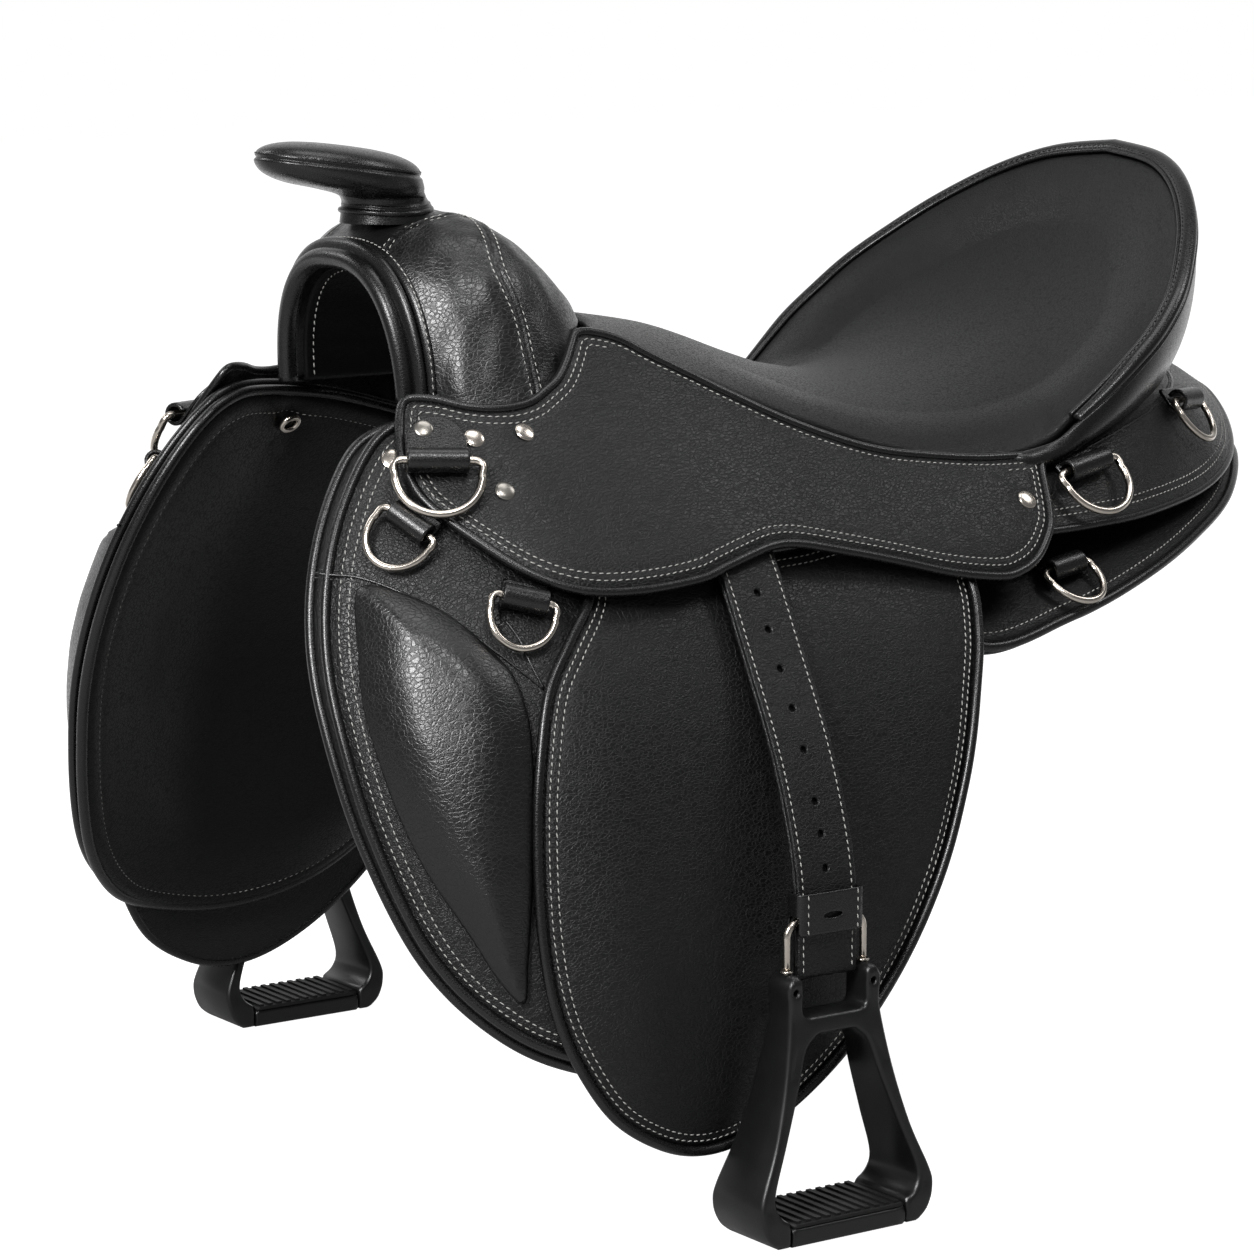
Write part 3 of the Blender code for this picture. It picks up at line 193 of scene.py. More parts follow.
# %% [markdown]
# ## Leather, thread, metal and moulding
# Leather grain is a net of small raised cells with creases between them. Two cell patterns, a coarse and a fine
# one, are pulled about by noise, a broad noise gives the unevenness of the hide, and all go in as bump. The
# creases are also duller than the cells, and their colour is darkened as a painted shade. The pattern sits on
# Object coordinates, so it is the same size on every piece. A smooth calf for rolls has finer, shallower grain.
# Each sheet carries its own distance from the edge, and the leather is burnished smooth there.

# %% Leather
EDGE_MARK = "edge_mm"
GRAIN_PULL = (1.15, 0.70, 1.2)
COARSE_CREASE, FINE_CREASE, FINE_CELL = 0.17, 0.26, 0.42
# The crease share is painted shade: the base colour is made darker in the creases. The tone noise is the hide's own
# uneven colour.
TONE_SCALE, TONE_RANGE, CREASE_PAINTED_SHADE = 9, (0.75, 1.3), 0.45
PATCHY_GLOSS, BURNISH_FROM, BURNISH_TO = 0.10, 1.0, 4.5


def leather(name, colour, roughness, cell, depth, specular, gloss_drop=0.16, hide=1.6, fine=0.35, burnish=0.0):
    """Grained leather: size of the cells, depth of the creases, share of broad hide and of fine creases."""
    material, tree, shader = new_surface(name, {"Specular IOR Level": specular})
    place = node(tree, "ShaderNodeTexCoord").outputs["Object"]
    pulled = node(tree, "ShaderNodeMapping", {"Scale": GRAIN_PULL})
    wander = node(tree, "ShaderNodeTexNoise", {"Scale": 0.30 / cell, "Detail": 2})
    shift = node(tree, "ShaderNodeVectorMath", {1: (1.5 * cell,) * 3}, operation="MULTIPLY_ADD")
    wire(tree, (place, pulled.inputs["Vector"]), (pulled.outputs[0], wander.inputs["Vector"]),
         (wander.outputs["Color"], shift.inputs[0]), (pulled.outputs[0], shift.inputs[2]))
    creases = []
    for size, width in ((cell, COARSE_CREASE), (FINE_CELL * cell, FINE_CREASE)):
        cells = node(tree, "ShaderNodeTexVoronoi", feature="DISTANCE_TO_EDGE")
        cells.inputs["Scale"].default_value = 1 / size
        cells.inputs["Randomness"].default_value = 1
        crease = node(tree, "ShaderNodeMapRange", {"From Max": width}, interpolation_type="SMOOTHSTEP")
        wire(tree, (shift.outputs[0], cells.inputs["Vector"]), (cells.outputs["Distance"], crease.inputs["Value"]))
        creases.append(crease.outputs["Result"])
    broad = node(tree, "ShaderNodeTexNoise", {"Scale": 0.22 / cell, "Detail": 2})
    wire(tree, (pulled.outputs[0], broad.inputs["Vector"]))
    height = creases[0]
    for part, share in ((creases[1], fine), (broad.outputs["Fac"], hide)):
        added = node(tree, "ShaderNodeMath", {1: share}, operation="MULTIPLY_ADD")
        wire(tree, (part, added.inputs[0]), (height, added.inputs[2]))
        height = added.outputs[0]
    bump = node(tree, "ShaderNodeBump", {"Strength": 1, "Distance": depth})
    tone = node(tree, "ShaderNodeTexNoise", {"Scale": TONE_SCALE, "Detail": 4})
    ramp = node(tree, "ShaderNodeMapRange", {"To Min": TONE_RANGE[0], "To Max": TONE_RANGE[1]})
    # Painted shade: in the creases the base colour falls to this share of itself.
    dark = node(tree, "ShaderNodeMapRange", {"To Min": CREASE_PAINTED_SHADE, "To Max": 1.0})
    tone_and_crease_shade = node(tree, "ShaderNodeMath", operation="MULTIPLY")
    colour_at = node(tree, "ShaderNodeVectorMath", {0: colour}, operation="SCALE")
    shine = node(tree, "ShaderNodeMapRange", {"To Min": roughness + gloss_drop, "To Max": roughness})
    patchy = node(tree, "ShaderNodeMath", {1: PATCHY_GLOSS}, operation="MULTIPLY_ADD")
    lower = node(tree, "ShaderNodeMath", {1: 0.5 * PATCHY_GLOSS}, operation="SUBTRACT")
    wire(tree, (height, bump.inputs["Height"]), (bump.outputs["Normal"], shader.inputs["Normal"]),
         (place, tone.inputs["Vector"]), (tone.outputs["Fac"], ramp.inputs["Value"]),
         (creases[0], dark.inputs["Value"]), (ramp.outputs["Result"], tone_and_crease_shade.inputs[0]),
         (dark.outputs["Result"], tone_and_crease_shade.inputs[1]), (tone_and_crease_shade.outputs[0], colour_at.inputs["Scale"]),
         (colour_at.outputs[0], shader.inputs["Base Color"]), (creases[0], shine.inputs["Value"]),
         (tone.outputs["Fac"], patchy.inputs[0]), (shine.outputs["Result"], patchy.inputs[2]),
         (patchy.outputs[0], lower.inputs[0]))
    rough = lower.outputs[0]
    if burnish:
        mark = node(tree, "ShaderNodeAttribute", attribute_name=EDGE_MARK)
        near = node(tree, "ShaderNodeMapRange", {"From Min": BURNISH_FROM, "From Max": BURNISH_TO,
                                                 "To Min": -burnish, "To Max": 0.0})
        total = node(tree, "ShaderNodeMath", operation="ADD")
        wire(tree, (mark.outputs["Fac"], near.inputs["Value"]), (near.outputs["Result"], total.inputs[0]),
             (rough, total.inputs[1]))
        rough = total.outputs[0]
    wire(tree, (rough, shader.inputs["Roughness"]))
    return material


BLACK, DEEP_BLACK, LINING_BLACK = (0.0030, 0.0030, 0.0032), (0.0028, 0.0028, 0.0030), (0.0025, 0.0025, 0.0027)
grained = leather("grained_leather", BLACK, 0.33, 2.2 * MM, 0.150 * MM, 0.38, gloss_drop=0.30, burnish=0.05)
domed_hide = leather("domed_leather", BLACK, 0.29, 2.9 * MM, 0.070 * MM, 0.55, hide=2.2)
seat_hide = leather("seat_leather", DEEP_BLACK, 0.33, 2.0 * MM, 0.080 * MM, 0.27, gloss_drop=0.24, hide=2.0, fine=0.5)
soft_hide = leather("panel_leather", DEEP_BLACK, 0.38, 2.4 * MM, 0.100 * MM, 0.22, gloss_drop=0.24)
smooth_hide = leather("smooth_leather", BLACK, 0.25, 1.6 * MM, 0.018 * MM, 0.50, hide=3.0)
lining_hide = leather("lining_leather", LINING_BLACK, 0.46, 2.0 * MM, 0.040 * MM, 0.10)
print("leathers:", [m.name for m in (grained, domed_hide, seat_hide, soft_hide, smooth_hide, lining_hide)])


# %% Thread, metal, moulding and rubber
def worn_surface(name, colour, roughness, scale, depth, metallic=0.0, spread=0.08, specular=0.5):
    """Plain stuff with a fine noise in its height and a broad one in its gloss and tone."""
    material, tree, shader = new_surface(name, {"Metallic": metallic, "Specular IOR Level": specular})
    place = node(tree, "ShaderNodeTexCoord").outputs["Object"]
    fine = node(tree, "ShaderNodeTexNoise", {"Scale": scale, "Detail": 5})
    broad = node(tree, "ShaderNodeTexNoise", {"Scale": 0.04 * scale, "Detail": 3})
    gloss = node(tree, "ShaderNodeMapRange", {"To Min": roughness - spread, "To Max": roughness + spread})
    tone = node(tree, "ShaderNodeMapRange", {"To Min": 0.82, "To Max": 1.14})
    colour_at = node(tree, "ShaderNodeVectorMath", {0: colour}, operation="SCALE")
    bump = node(tree, "ShaderNodeBump", {"Distance": depth})
    wire(tree, (place, fine.inputs["Vector"]), (place, broad.inputs["Vector"]),
         (broad.outputs["Fac"], gloss.inputs["Value"]), (gloss.outputs["Result"], shader.inputs["Roughness"]),
         (broad.outputs["Fac"], tone.inputs["Value"]), (tone.outputs["Result"], colour_at.inputs["Scale"]),
         (colour_at.outputs[0], shader.inputs["Base Color"]), (fine.outputs["Fac"], bump.inputs["Height"]),
         (bump.outputs["Normal"], shader.inputs["Normal"]))
    return material


white_thread = worn_surface("white_thread", (0.36, 0.355, 0.34), 0.55, 5200, 0.06 * MM, specular=0.3)
black_thread = worn_surface("black_thread", (0.018, 0.018, 0.018), 0.42, 5200, 0.06 * MM)
nickel = worn_surface("warm_nickel", (0.58, 0.53, 0.475), 0.22, 900, 0.012 * MM, metallic=1.0, spread=0.06)
antique = worn_surface("antique_nickel", (0.30, 0.285, 0.26), 0.30, 900, 0.03 * MM, metallic=1.0)
steel = worn_surface("plain_steel", (0.45, 0.45, 0.46), 0.38, 700, 0.03 * MM, metallic=1.0)
moulded = worn_surface("moulded_black", (0.0045, 0.0045, 0.0048), 0.33, 1900, 0.030 * MM, specular=0.42)
rubber = worn_surface("tread_rubber", (0.007, 0.007, 0.007), 0.60, 1400, 0.10 * MM, specular=0.25)
fibre = worn_surface("tree_fibre", (0.060, 0.055, 0.050), 0.62, 800, 0.12 * MM, specular=0.3)
print("materials:", len(bpy.data.materials))

# %% [markdown]
# ## The curves that everything lies on
# The side of the saddle is one curved wall: a crest line gives its distance from the centre at each height, and
# the front wraps inwards. A leather's place is a point on that wall plus a lift along the wall's normal. The
# seat and the swell are patches spanned between edge curves, and the skirt and panels have rules of their own.
# The same few rules draw the pieces, place the rivets and carry the stitches, so all of them agree.

# %% Curves
RIPPLE_WAVES = 6


def value_at(pairs, at):
    """Smooth curve through (place, value) pairs, at many places."""
    places, values = np.array(pairs, dtype=float).T
    slopes = np.gradient(values, places)
    at = np.clip(np.asarray(at, dtype=float), places[0], places[-1])
    index = np.clip(np.searchsorted(places, at) - 1, 0, len(places) - 2)
    step = places[index + 1] - places[index]
    t = (at - places[index]) / step
    return ((2 * t**3 - 3 * t**2 + 1) * values[index] + (t**3 - 2 * t**2 + t) * step * slopes[index]
            + (3 * t**2 - 2 * t**3) * values[index + 1] + (t**3 - t**2) * step * slopes[index + 1])


def dense_path(points, closed=False, fine=16):
    knots = np.array(points, dtype=float)
    total = len(knots)
    t = np.linspace(0, 1, fine, endpoint=False)[:, None]
    parts = []
    for index in range(total if closed else total - 1):
        if closed:
            before, start, end, after = (knots[(index + k) % total] for k in (-1, 0, 1, 2))
        else:
            before, start = knots[max(index - 1, 0)], knots[index]
            end, after = knots[index + 1], knots[min(index + 2, total - 1)]
        parts.append(0.5 * (2 * start + (end - before) * t + (2 * before - 5 * start + 4 * end - after) * t**2
                            + (3 * start - before - 3 * end + after) * t**3))
    parts.append(knots[:1] if closed else knots[-1:])
    return np.concatenate(parts)


def run_of(points):
    steps = np.linalg.norm(np.diff(points, axis=0), axis=1)
    return np.concatenate([[0], np.cumsum(steps)])


def at_run(run, values, wanted):
    """Each column of a path's values at wanted places of its run."""
    return [np.interp(wanted, run, values[:, axis]) for axis in range(values.shape[1])]


def even_path(points, count=None, closed=False, step=None, smooth=True):
    """Evenly spaced points on the curve through the given points."""
    if smooth:
        dense = dense_path(points, closed)
    else:
        dense = np.array(list(points) + ([points[0]] if closed else []), dtype=float)
    run = run_of(dense)
    if step:
        count = max(int(round(run[-1] / step)) + (0 if closed else 1), 2)
    wanted = np.linspace(0, run[-1], count + 1 if closed else count)[:count]
    return np.stack([np.interp(wanted, run, dense[:, axis]) for axis in range(dense.shape[1])], axis=1)


class Track:
    """Smooth path read at shares of its length."""

    def __init__(self, points):
        self.path = even_path(points, 240)

    def __call__(self, share):
        place = np.clip(share, 0, 1) * (len(self.path) - 1)
        return stacked(*at_run(np.arange(len(self.path)), self.path, place))


def unit(vectors):
    vectors = np.asarray(vectors, dtype=float)
    return vectors / np.maximum(np.linalg.norm(vectors, axis=-1, keepdims=True), 1e-12)


def stacked(*parts):
    return np.stack(np.broadcast_arrays(*[np.asarray(part, dtype=float) for part in parts]), axis=-1)


def square_to(path):
    """Directions at right angles to a flat path, to its left."""
    along = unit(np.gradient(path, axis=0))
    return np.stack([-along[:, 1], along[:, 0]], axis=1)


def smooth_step(value, low, high):
    t = np.clip((np.asarray(value, dtype=float) - low) / (high - low), 0, 1)
    return t * t * (3 - 2 * t)


def domed(edge, reach):
    """Rise from 0 at the edge to 1 at the reach, steep first and level at the end."""
    return np.sin(0.5 * math.pi * np.clip(edge / reach, 0, 1))


def bell(away, width):
    return np.exp(-(away / width)**2)


def ripple(points, size, seed):
    """Gentle uneven swell between -1 and 1, about a size across."""
    draw = np.random.default_rng(seed)
    total = np.zeros(len(points))
    for wave in range(RIPPLE_WAVES):
        heading = unit(draw.normal(size=3)) * draw.uniform(0.7, 1.6) * 2 * math.pi / size
        total += np.sin(points @ heading + draw.uniform(0, 2 * math.pi))
    return total / RIPPLE_WAVES


# %% The side of the saddle
CREST = [(-0.36, 0.245), (-0.30, 0.2445), (-0.20, 0.241), (-0.15, 0.234), (-0.10, 0.222),
         (-0.03, 0.185), (0.03, 0.137), (0.066, 0.104), (0.10, 0.078), (0.13, 0.060)]
WRAP_START_Y = -0.215
WRAP_RATE = 5.0


def side_x(y, z):
    return value_at(CREST, z) - WRAP_RATE * np.maximum(0, WRAP_START_Y - np.asarray(y))**2


def side_normal(y, z):
    step = 1 * MM
    slope_y = (side_x(y + step, z) - side_x(y - step, z)) / (2 * step)
    slope_z = (side_x(y, z + step) - side_x(y, z - step)) / (2 * step)
    return unit(stacked(1, -slope_y, -slope_z))


def on_side(places, lift):
    """Points and normals on the side, for (y, z) places and a lift."""
    places = np.asarray(places, dtype=float)
    y, z = places[..., 0], places[..., 1]
    normal = side_normal(y, z)
    return stacked(side_x(y, z), y, z) + normal * np.asarray(lift, dtype=float)[..., None], normal


print("half width at the fender's foot: %.3f m" % side_x(-0.15, -0.30))

# %% [markdown]
# ## Cutting a leather
# A cut leather needs fine rings of points along its edge, where the roll, the groove and the sewing are, and a
# looser net inside. The outline is followed inwards at set distances, the middle is filled with a hexagonal
# net, and a Delaunay triangulation joins them. The distance of each point from the edge then shapes the
# profile: how the edge rounds, where the groove runs, where each row of sewing pulls the leather down.

# %% The net of a cut leather
POINTS_AT_ONCE = 1500


def segment_distance(points, starts, ends):
    """Distance of each point from the nearest of many straight segments."""
    run = ends - starts
    length = np.maximum((run * run).sum(axis=1), 1e-15)
    nearest = np.empty(len(points))
    for low in range(0, len(points), POINTS_AT_ONCE):
        part = points[low:low + POINTS_AT_ONCE]
        share = np.clip(((part[:, None] - starts) * run).sum(axis=2) / length, 0, 1)
        foot = starts + run * share[..., None]
        nearest[low:low + POINTS_AT_ONCE] = np.linalg.norm(foot - part[:, None], axis=2).min(axis=1)
    return nearest


def loop_distance(points, loops):
    ends = [np.roll(loop, -1, axis=0) for loop in loops]
    return segment_distance(points, np.concatenate(loops), np.concatenate(ends))


def line_distance(points, line):
    return segment_distance(points, line[:-1], line[1:])


def in_loop(points, loop):
    ends = np.roll(loop, -1, axis=0)
    x, y = points[:, 0, None], points[:, 1, None]
    crossed = (loop[:, 1] > y) != (ends[:, 1] > y)
    rise = np.where(ends[:, 1] == loop[:, 1], 1e-12, ends[:, 1] - loop[:, 1])
    reach = loop[:, 0] + (y - loop[:, 1]) / rise * (ends[:, 0] - loop[:, 0])
    return np.count_nonzero(crossed & (x < reach), axis=1) % 2 == 1


def inset(loop, distance):
    """A loop's points moved inwards by a distance; outwards where it is negative."""
    along = unit(np.roll(loop, -1, axis=0) - np.roll(loop, 1, axis=0))
    turn = np.sign((loop[:, 0] * np.roll(loop[:, 1], -1) - np.roll(loop[:, 0], -1) * loop[:, 1]).sum())
    return loop + np.stack([-along[:, 1], along[:, 0]], axis=1) * turn * distance


def leather_net(outline, rings, grid, step=3 * MM, holes=(), smooth=True):
    """Flat points, triangles and distance from the edge of a cut leather."""
    outer = even_path(outline, closed=True, step=step, smooth=smooth)
    loops = [outer] + [np.array(hole) for hole in holes]

    def inside(points):
        keep = in_loop(points, outer)
        for hole in loops[1:]:
            keep &= ~in_loop(points, hole)
        return keep

    points = list(loops)
    for distance in rings:
        for index, loop in enumerate(loops):
            moved = inset(loop, distance if index == 0 else -distance)
            far = (loop_distance(moved, loops) > 0.97 * distance) & inside(moved)
            points.append(moved[far])
    low, high = outer.min(axis=0), outer.max(axis=0)
    rise = grid * math.sqrt(0.75)
    rows, columns = np.mgrid[int(low[1] // rise) - 1:int(high[1] // rise) + 2,
                             int(low[0] // grid) - 1:int(high[0] // grid) + 2]
    middle = np.stack([(columns + 0.5 * (rows % 2)) * grid, rows * rise], axis=-1).reshape(-1, 2)
    middle = middle[inside(middle)]
    points.append(middle[loop_distance(middle, loops) > (rings[-1] if rings else 0) + 0.6 * grid])
    places = np.concatenate(points)
    edges, start = [], 0
    for loop in loops:
        edges += [(start + index, start + (index + 1) % len(loop)) for index in range(len(loop))]
        start += len(loop)
    found = delaunay_2d_cdt([Vector(place) for place in places], edges, [], 0, 1e-7)
    flat = np.array([tuple(place) for place in found[0]])
    faces = np.array(found[2])
    faces = faces[inside(flat[faces].mean(axis=1))]
    a, b, c = (flat[faces[:, k]] for k in range(3))
    area = (b[:, 0] - a[:, 0]) * (c[:, 1] - a[:, 1]) - (c[:, 0] - a[:, 0]) * (b[:, 1] - a[:, 1])
    faces = faces[np.abs(area) > 1e-12]
    edge = loop_distance(flat, loops)
    edge[edge < 1e-6] = 0
    return flat, faces, edge


def round_edge(edge, radius):
    """How far a surface drops near an edge rounded to a radius."""
    inner = np.clip(radius - edge, 0, radius)
    return radius - np.sqrt(np.maximum(radius**2 - inner**2, 0))


def sewn_dip(edge, rows, depth=0.28 * MM, width=0.9 * MM):
    """The small valleys that rows of sewing pull into a leather."""
    dip = np.zeros(len(edge))
    for row in rows:
        dip += depth * bell(edge - row, width)
    return dip


# %% Collecting the parts of a piece
FAR_FROM_EDGE = 20.0  # mm, for parts that have no cut edge


class Shape:
    """Points and faces gathered for one piece, with a material number and edge distance."""

    def __init__(self):
        self.points, self.faces, self.slots, self.marks, self.total = [], [], [], [], 0

    def add(self, points, faces, slot=0, edge=None):
        points = np.asarray(points, dtype=float)
        self.points.append(points)
        self.faces += [tuple(int(corner) + self.total for corner in face) for face in faces]
        self.slots += [slot] * len(faces)
        self.marks.append(np.full(len(points), FAR_FROM_EDGE) if edge is None else np.asarray(edge) / MM)
        self.total += len(points)
        return self

    def add_shell(self, top, under, faces, edge):
        """Both faces of a leather, joined where the distance from the edge is 0."""
        border = edge == 0
        top[border] = 0.5 * (top[border] + under[border])
        below = np.arange(len(top))
        below[~border] = len(top) + np.arange(np.count_nonzero(~border))
        turned = [tuple(below[corner] for corner in face[::-1]) for face in faces]
        return self.add(np.concatenate([top, under[~border]]), list(faces) + turned,
                        edge=np.concatenate([edge, edge[~border]]))

    def add_sheet(self, net, outer, inner):
        """A leather on a net; outer and inner give its points for (flat, edge)."""
        flat, faces, edge = net
        return self.add_shell(outer(flat, edge), inner(flat, edge), faces, edge)


def make_piece(name, shape, side, materials, body, replaced=()):
    """Object from a shape, mirrored for the off side, riding on its body."""
    mesh = bpy.data.meshes.new(name)
    mesh.from_pydata((np.concatenate(shape.points) * (side, 1, 1)).tolist(), [], shape.faces)
    mark = mesh.attributes.new(EDGE_MARK, "FLOAT", "POINT")
    mark.data.foreach_set("value", np.concatenate(shape.marks).astype(np.float32))
    mesh.polygons.foreach_set("material_index", shape.slots)
    for material in materials:
        mesh.materials.append(material)
    work = bmesh.new()
    work.from_mesh(mesh)
    bmesh.ops.recalc_face_normals(work, faces=work.faces)
    work.to_mesh(mesh)
    work.free()
    mesh.shade_smooth()
    item = in_scene(name, mesh)
    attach(item, body)
    if replaced:
        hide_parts(*replaced)
    return item


def both_sides(*pieces):
    """The same pieces on each side; {} in a name stands for left or right."""
    return [make_piece(name.format(label), shape, side, materials, body.format(label),
                       [taken.format(label) for taken in replaced])
            for side, label in SIDES for name, shape, materials, body, slot, *replaced in pieces]


def grid_faces(rows, columns, closed=False):
    wide = columns if closed else columns - 1
    return [(row * columns + column, row * columns + (column + 1) % columns,
             (row + 1) * columns + (column + 1) % columns, (row + 1) * columns + column)
            for row in range(rows - 1) for column in range(wide)]


def two_ends(rows, columns):
    """Flat faces that close a tube of rings."""
    return [tuple(range(columns))[::-1], tuple(range((rows - 1) * columns, rows * columns))]


def roll(path, radius, closed=False, sides=12, flat=1.0, up=None):
    """Round roll along a path; flat squeezes it along the given up directions."""
    path = np.asarray(path, dtype=float)
    count = len(path)
    if closed:
        ahead = unit(np.roll(path, -1, axis=0) - np.roll(path, 1, axis=0))
    else:
        ahead = unit(np.gradient(path, axis=0))
    if up is None:
        guide = [np.cross(ahead[0], (0.31, 0.22, 0.93))]
        for index in range(1, count):
            guide.append(guide[-1] - ahead[index] * np.dot(guide[-1], ahead[index]))
        up = np.array(guide)
    up = unit(up - ahead * (up * ahead).sum(axis=1, keepdims=True))
    across = np.cross(ahead, up)
    angle = 2 * math.pi * np.arange(sides) / sides
    radius = np.broadcast_to(radius, count)[:, None, None]
    wide, high = across[:, None] * np.cos(angle)[:, None], flat * up[:, None] * np.sin(angle)[:, None]
    rings = path[:, None] + radius * (wide + high)
    points = rings.reshape(-1, 3)
    faces = grid_faces(count, sides, closed=True)
    if closed:
        misfits = [np.linalg.norm(np.roll(rings[0], -k, axis=0) - rings[-1], axis=1).sum() for k in range(sides)]
        shift, last = int(np.argmin(misfits)), (count - 1) * sides
        faces += [(last + k, last + (k + 1) % sides, (k + 1 + shift) % sides, (k + shift) % sides)
                  for k in range(sides)]
    else:
        faces += two_ends(count, sides)
    return points, faces


print("tools ready")

# %% [markdown]
# ## Sewing with Geometry Nodes
# A saddler's stitch is a short lens of waxed thread, laid at a small slant, and there are thousands. Modelling
# them by hand is hopeless and a painted row looks flat, so a node tree does it: each seam is a line of points
# that carries the direction out of the leather, the line is resampled at the stitch pitch, and one lens is
# placed at each point, turned along the seam. The same idea sets rivets on points.

# %% Trees, and the stitch tree
def new_tree(name, source, result, sockets):
    """Node tree with named inputs; returns it, its two ends and the identifier of each input."""
    tree = bpy.data.node_groups.new(name, "GeometryNodeTree")
    tree.interface.new_socket(name=source, in_out="INPUT", socket_type="NodeSocketGeometry")
    names = {}
    for key, label, kind, value in sockets:
        socket = tree.interface.new_socket(name=label, in_out="INPUT", socket_type="NodeSocket" + kind)
        if value is not None:
            socket.default_value = value
        names[key] = socket.identifier
    tree.interface.new_socket(name=result, in_out="OUTPUT", socket_type="NodeSocketGeometry")
    return tree, tree.nodes.new("NodeGroupInput"), tree.nodes.new("NodeGroupOutput"), names


def end_tree(tree, placed, stuff, end, smooth=True):
    """The placed copies are made real, shaded smooth and given their material."""
    made = placed.outputs[0]
    for kind in ("RealizeInstances", "SetShadeSmooth", "SetMaterial"):
        if kind == "SetShadeSmooth" and not smooth:
            continue
        step = tree.nodes.new("GeometryNode" + kind)
        wire(tree, (made, step.inputs[0]))
        made = step.outputs[0]
    wire(tree, (stuff, step.inputs["Material"]), (made, end.inputs[0]))


def out_direction(tree):
    """The direction out of the leather, which each point carries."""
    return node(tree, "GeometryNodeInputNamedAttribute", {"Name": "out"}, data_type="FLOAT_VECTOR").outputs["Attribute"]


def stitch_tree():
    tree, start, end, names = new_tree("sewn_row", "Seams", "Stitches", (
        ("pitch", "Pitch", "Float", 4.0 * MM), ("length", "Stitch length", "Float", 2.9 * MM),
        ("width", "Thread width", "Float", 0.70 * MM), ("slant", "Slant", "Float", 0.12), ("seed", "Seed", "Int", 7),
        ("thread", "Thread", "Material", None)))
    line = tree.nodes.new("GeometryNodeMeshToCurve")
    spaced = node(tree, "GeometryNodeResampleCurve", mode="LENGTH")
    lens = node(tree, "GeometryNodeMeshUVSphere", {"Segments": 6, "Rings": 5, "Radius": 0.5})
    heading = tree.nodes.new("GeometryNodeInputTangent")
    axes = node(tree, "FunctionNodeAxesToRotation", primary_axis="X", secondary_axis="Z")
    wobble = node(tree, "FunctionNodeRandomValue", {2: -0.07, 3: 0.07}, data_type="FLOAT")
    lean = node(tree, "ShaderNodeMath", operation="ADD")
    turn = tree.nodes.new("ShaderNodeCombineXYZ")
    euler = tree.nodes.new("FunctionNodeEulerToRotation")
    turned = node(tree, "FunctionNodeRotateRotation", rotation_space="LOCAL")
    size = tree.nodes.new("ShaderNodeCombineXYZ")
    placed = tree.nodes.new("GeometryNodeInstanceOnPoints")
    wire(tree, (start.outputs["Seams"], line.inputs[0]), (line.outputs[0], spaced.inputs["Curve"]),
         (start.outputs["Pitch"], spaced.inputs["Length"]), (spaced.outputs["Curve"], placed.inputs["Points"]),
         (lens.outputs["Mesh"], placed.inputs["Instance"]), (heading.outputs[0], axes.inputs[0]),
         (out_direction(tree), axes.inputs[1]), (start.outputs["Seed"], wobble.inputs["Seed"]),
         (start.outputs["Slant"], lean.inputs[0]), (wobble.outputs[1], lean.inputs[1]),
         (lean.outputs[0], turn.inputs["Z"]), (turn.outputs[0], euler.inputs[0]), (axes.outputs[0], turned.inputs[0]),
         (euler.outputs[0], turned.inputs[1]), (turned.outputs[0], placed.inputs["Rotation"]),
         (start.outputs["Stitch length"], size.inputs["X"]), (start.outputs["Thread width"], size.inputs["Y"]),
         (start.outputs["Thread width"], size.inputs["Z"]), (size.outputs[0], placed.inputs["Scale"]))
    end_tree(tree, placed, start.outputs["Thread"], end)
    return tree, names


sewn_row, row_inputs = stitch_tree()
print("stitch inputs:", row_inputs)

# %% Seams, remembered first and sewn last
SEAMS = {}


def seam(body, kind, points, normals, closed=False):
    """Remember a line of sewing for a body: kind is the thread."""
    SEAMS.setdefault((body, kind), []).append((np.asarray(points, dtype=float), unit(normals), closed))


def kept_runs(keep):
    """Index runs of the kept points of a loop."""
    if keep.all():
        return [(np.arange(len(keep)), True)]
    order = np.roll(np.arange(len(keep)), -int(np.argmax(~keep)))
    parts = np.split(order, np.flatnonzero(np.diff(keep[order])) + 1)
    return [(part, False) for part in parts if keep[part[0]]]


def edge_seam(kind, outline, row, place, spans=None):
    """A row of sewing at a distance inside an outline, laid on a surface by place(flat, row)."""
    outer = even_path(outline, closed=True, step=3 * MM)
    line = inset(outer, row)
    far = loop_distance(line, [outer]) > 0.9 * row
    if spans is not None:
        far &= spans(line)
    for part, closed in kept_runs(far):
        if len(part) > 3:
            points, normals = place(line[part], row)
            seam("side", kind, points, normals, closed)


def point_directions(mesh, directions):
    mark = mesh.attributes.new("out", "FLOAT_VECTOR", "POINT")
    mark.data.foreach_set("vector", np.array(directions, dtype=np.float32).ravel())


def grown_by(source, tree, values):
    """The object with a node tree on it, and the tree's inputs set by their identifiers."""
    grower = source.modifiers.new("grower", "NODES")
    grower.node_group = tree
    for key, value in values.items():
        grower[key] = value
    return source


def evaluated_piece(name, source, body):
    """Plain mesh of an object's modifiers, as a new piece."""
    bpy.context.view_layer.update()
    mesh = bpy.data.meshes.new_from_object(source.evaluated_get(bpy.context.evaluated_depsgraph_get()))
    mesh.name = name
    old = source.data
    bpy.data.objects.remove(source)
    bpy.data.meshes.remove(old)
    item = in_scene(name, mesh)
    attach(item, body)
    return item


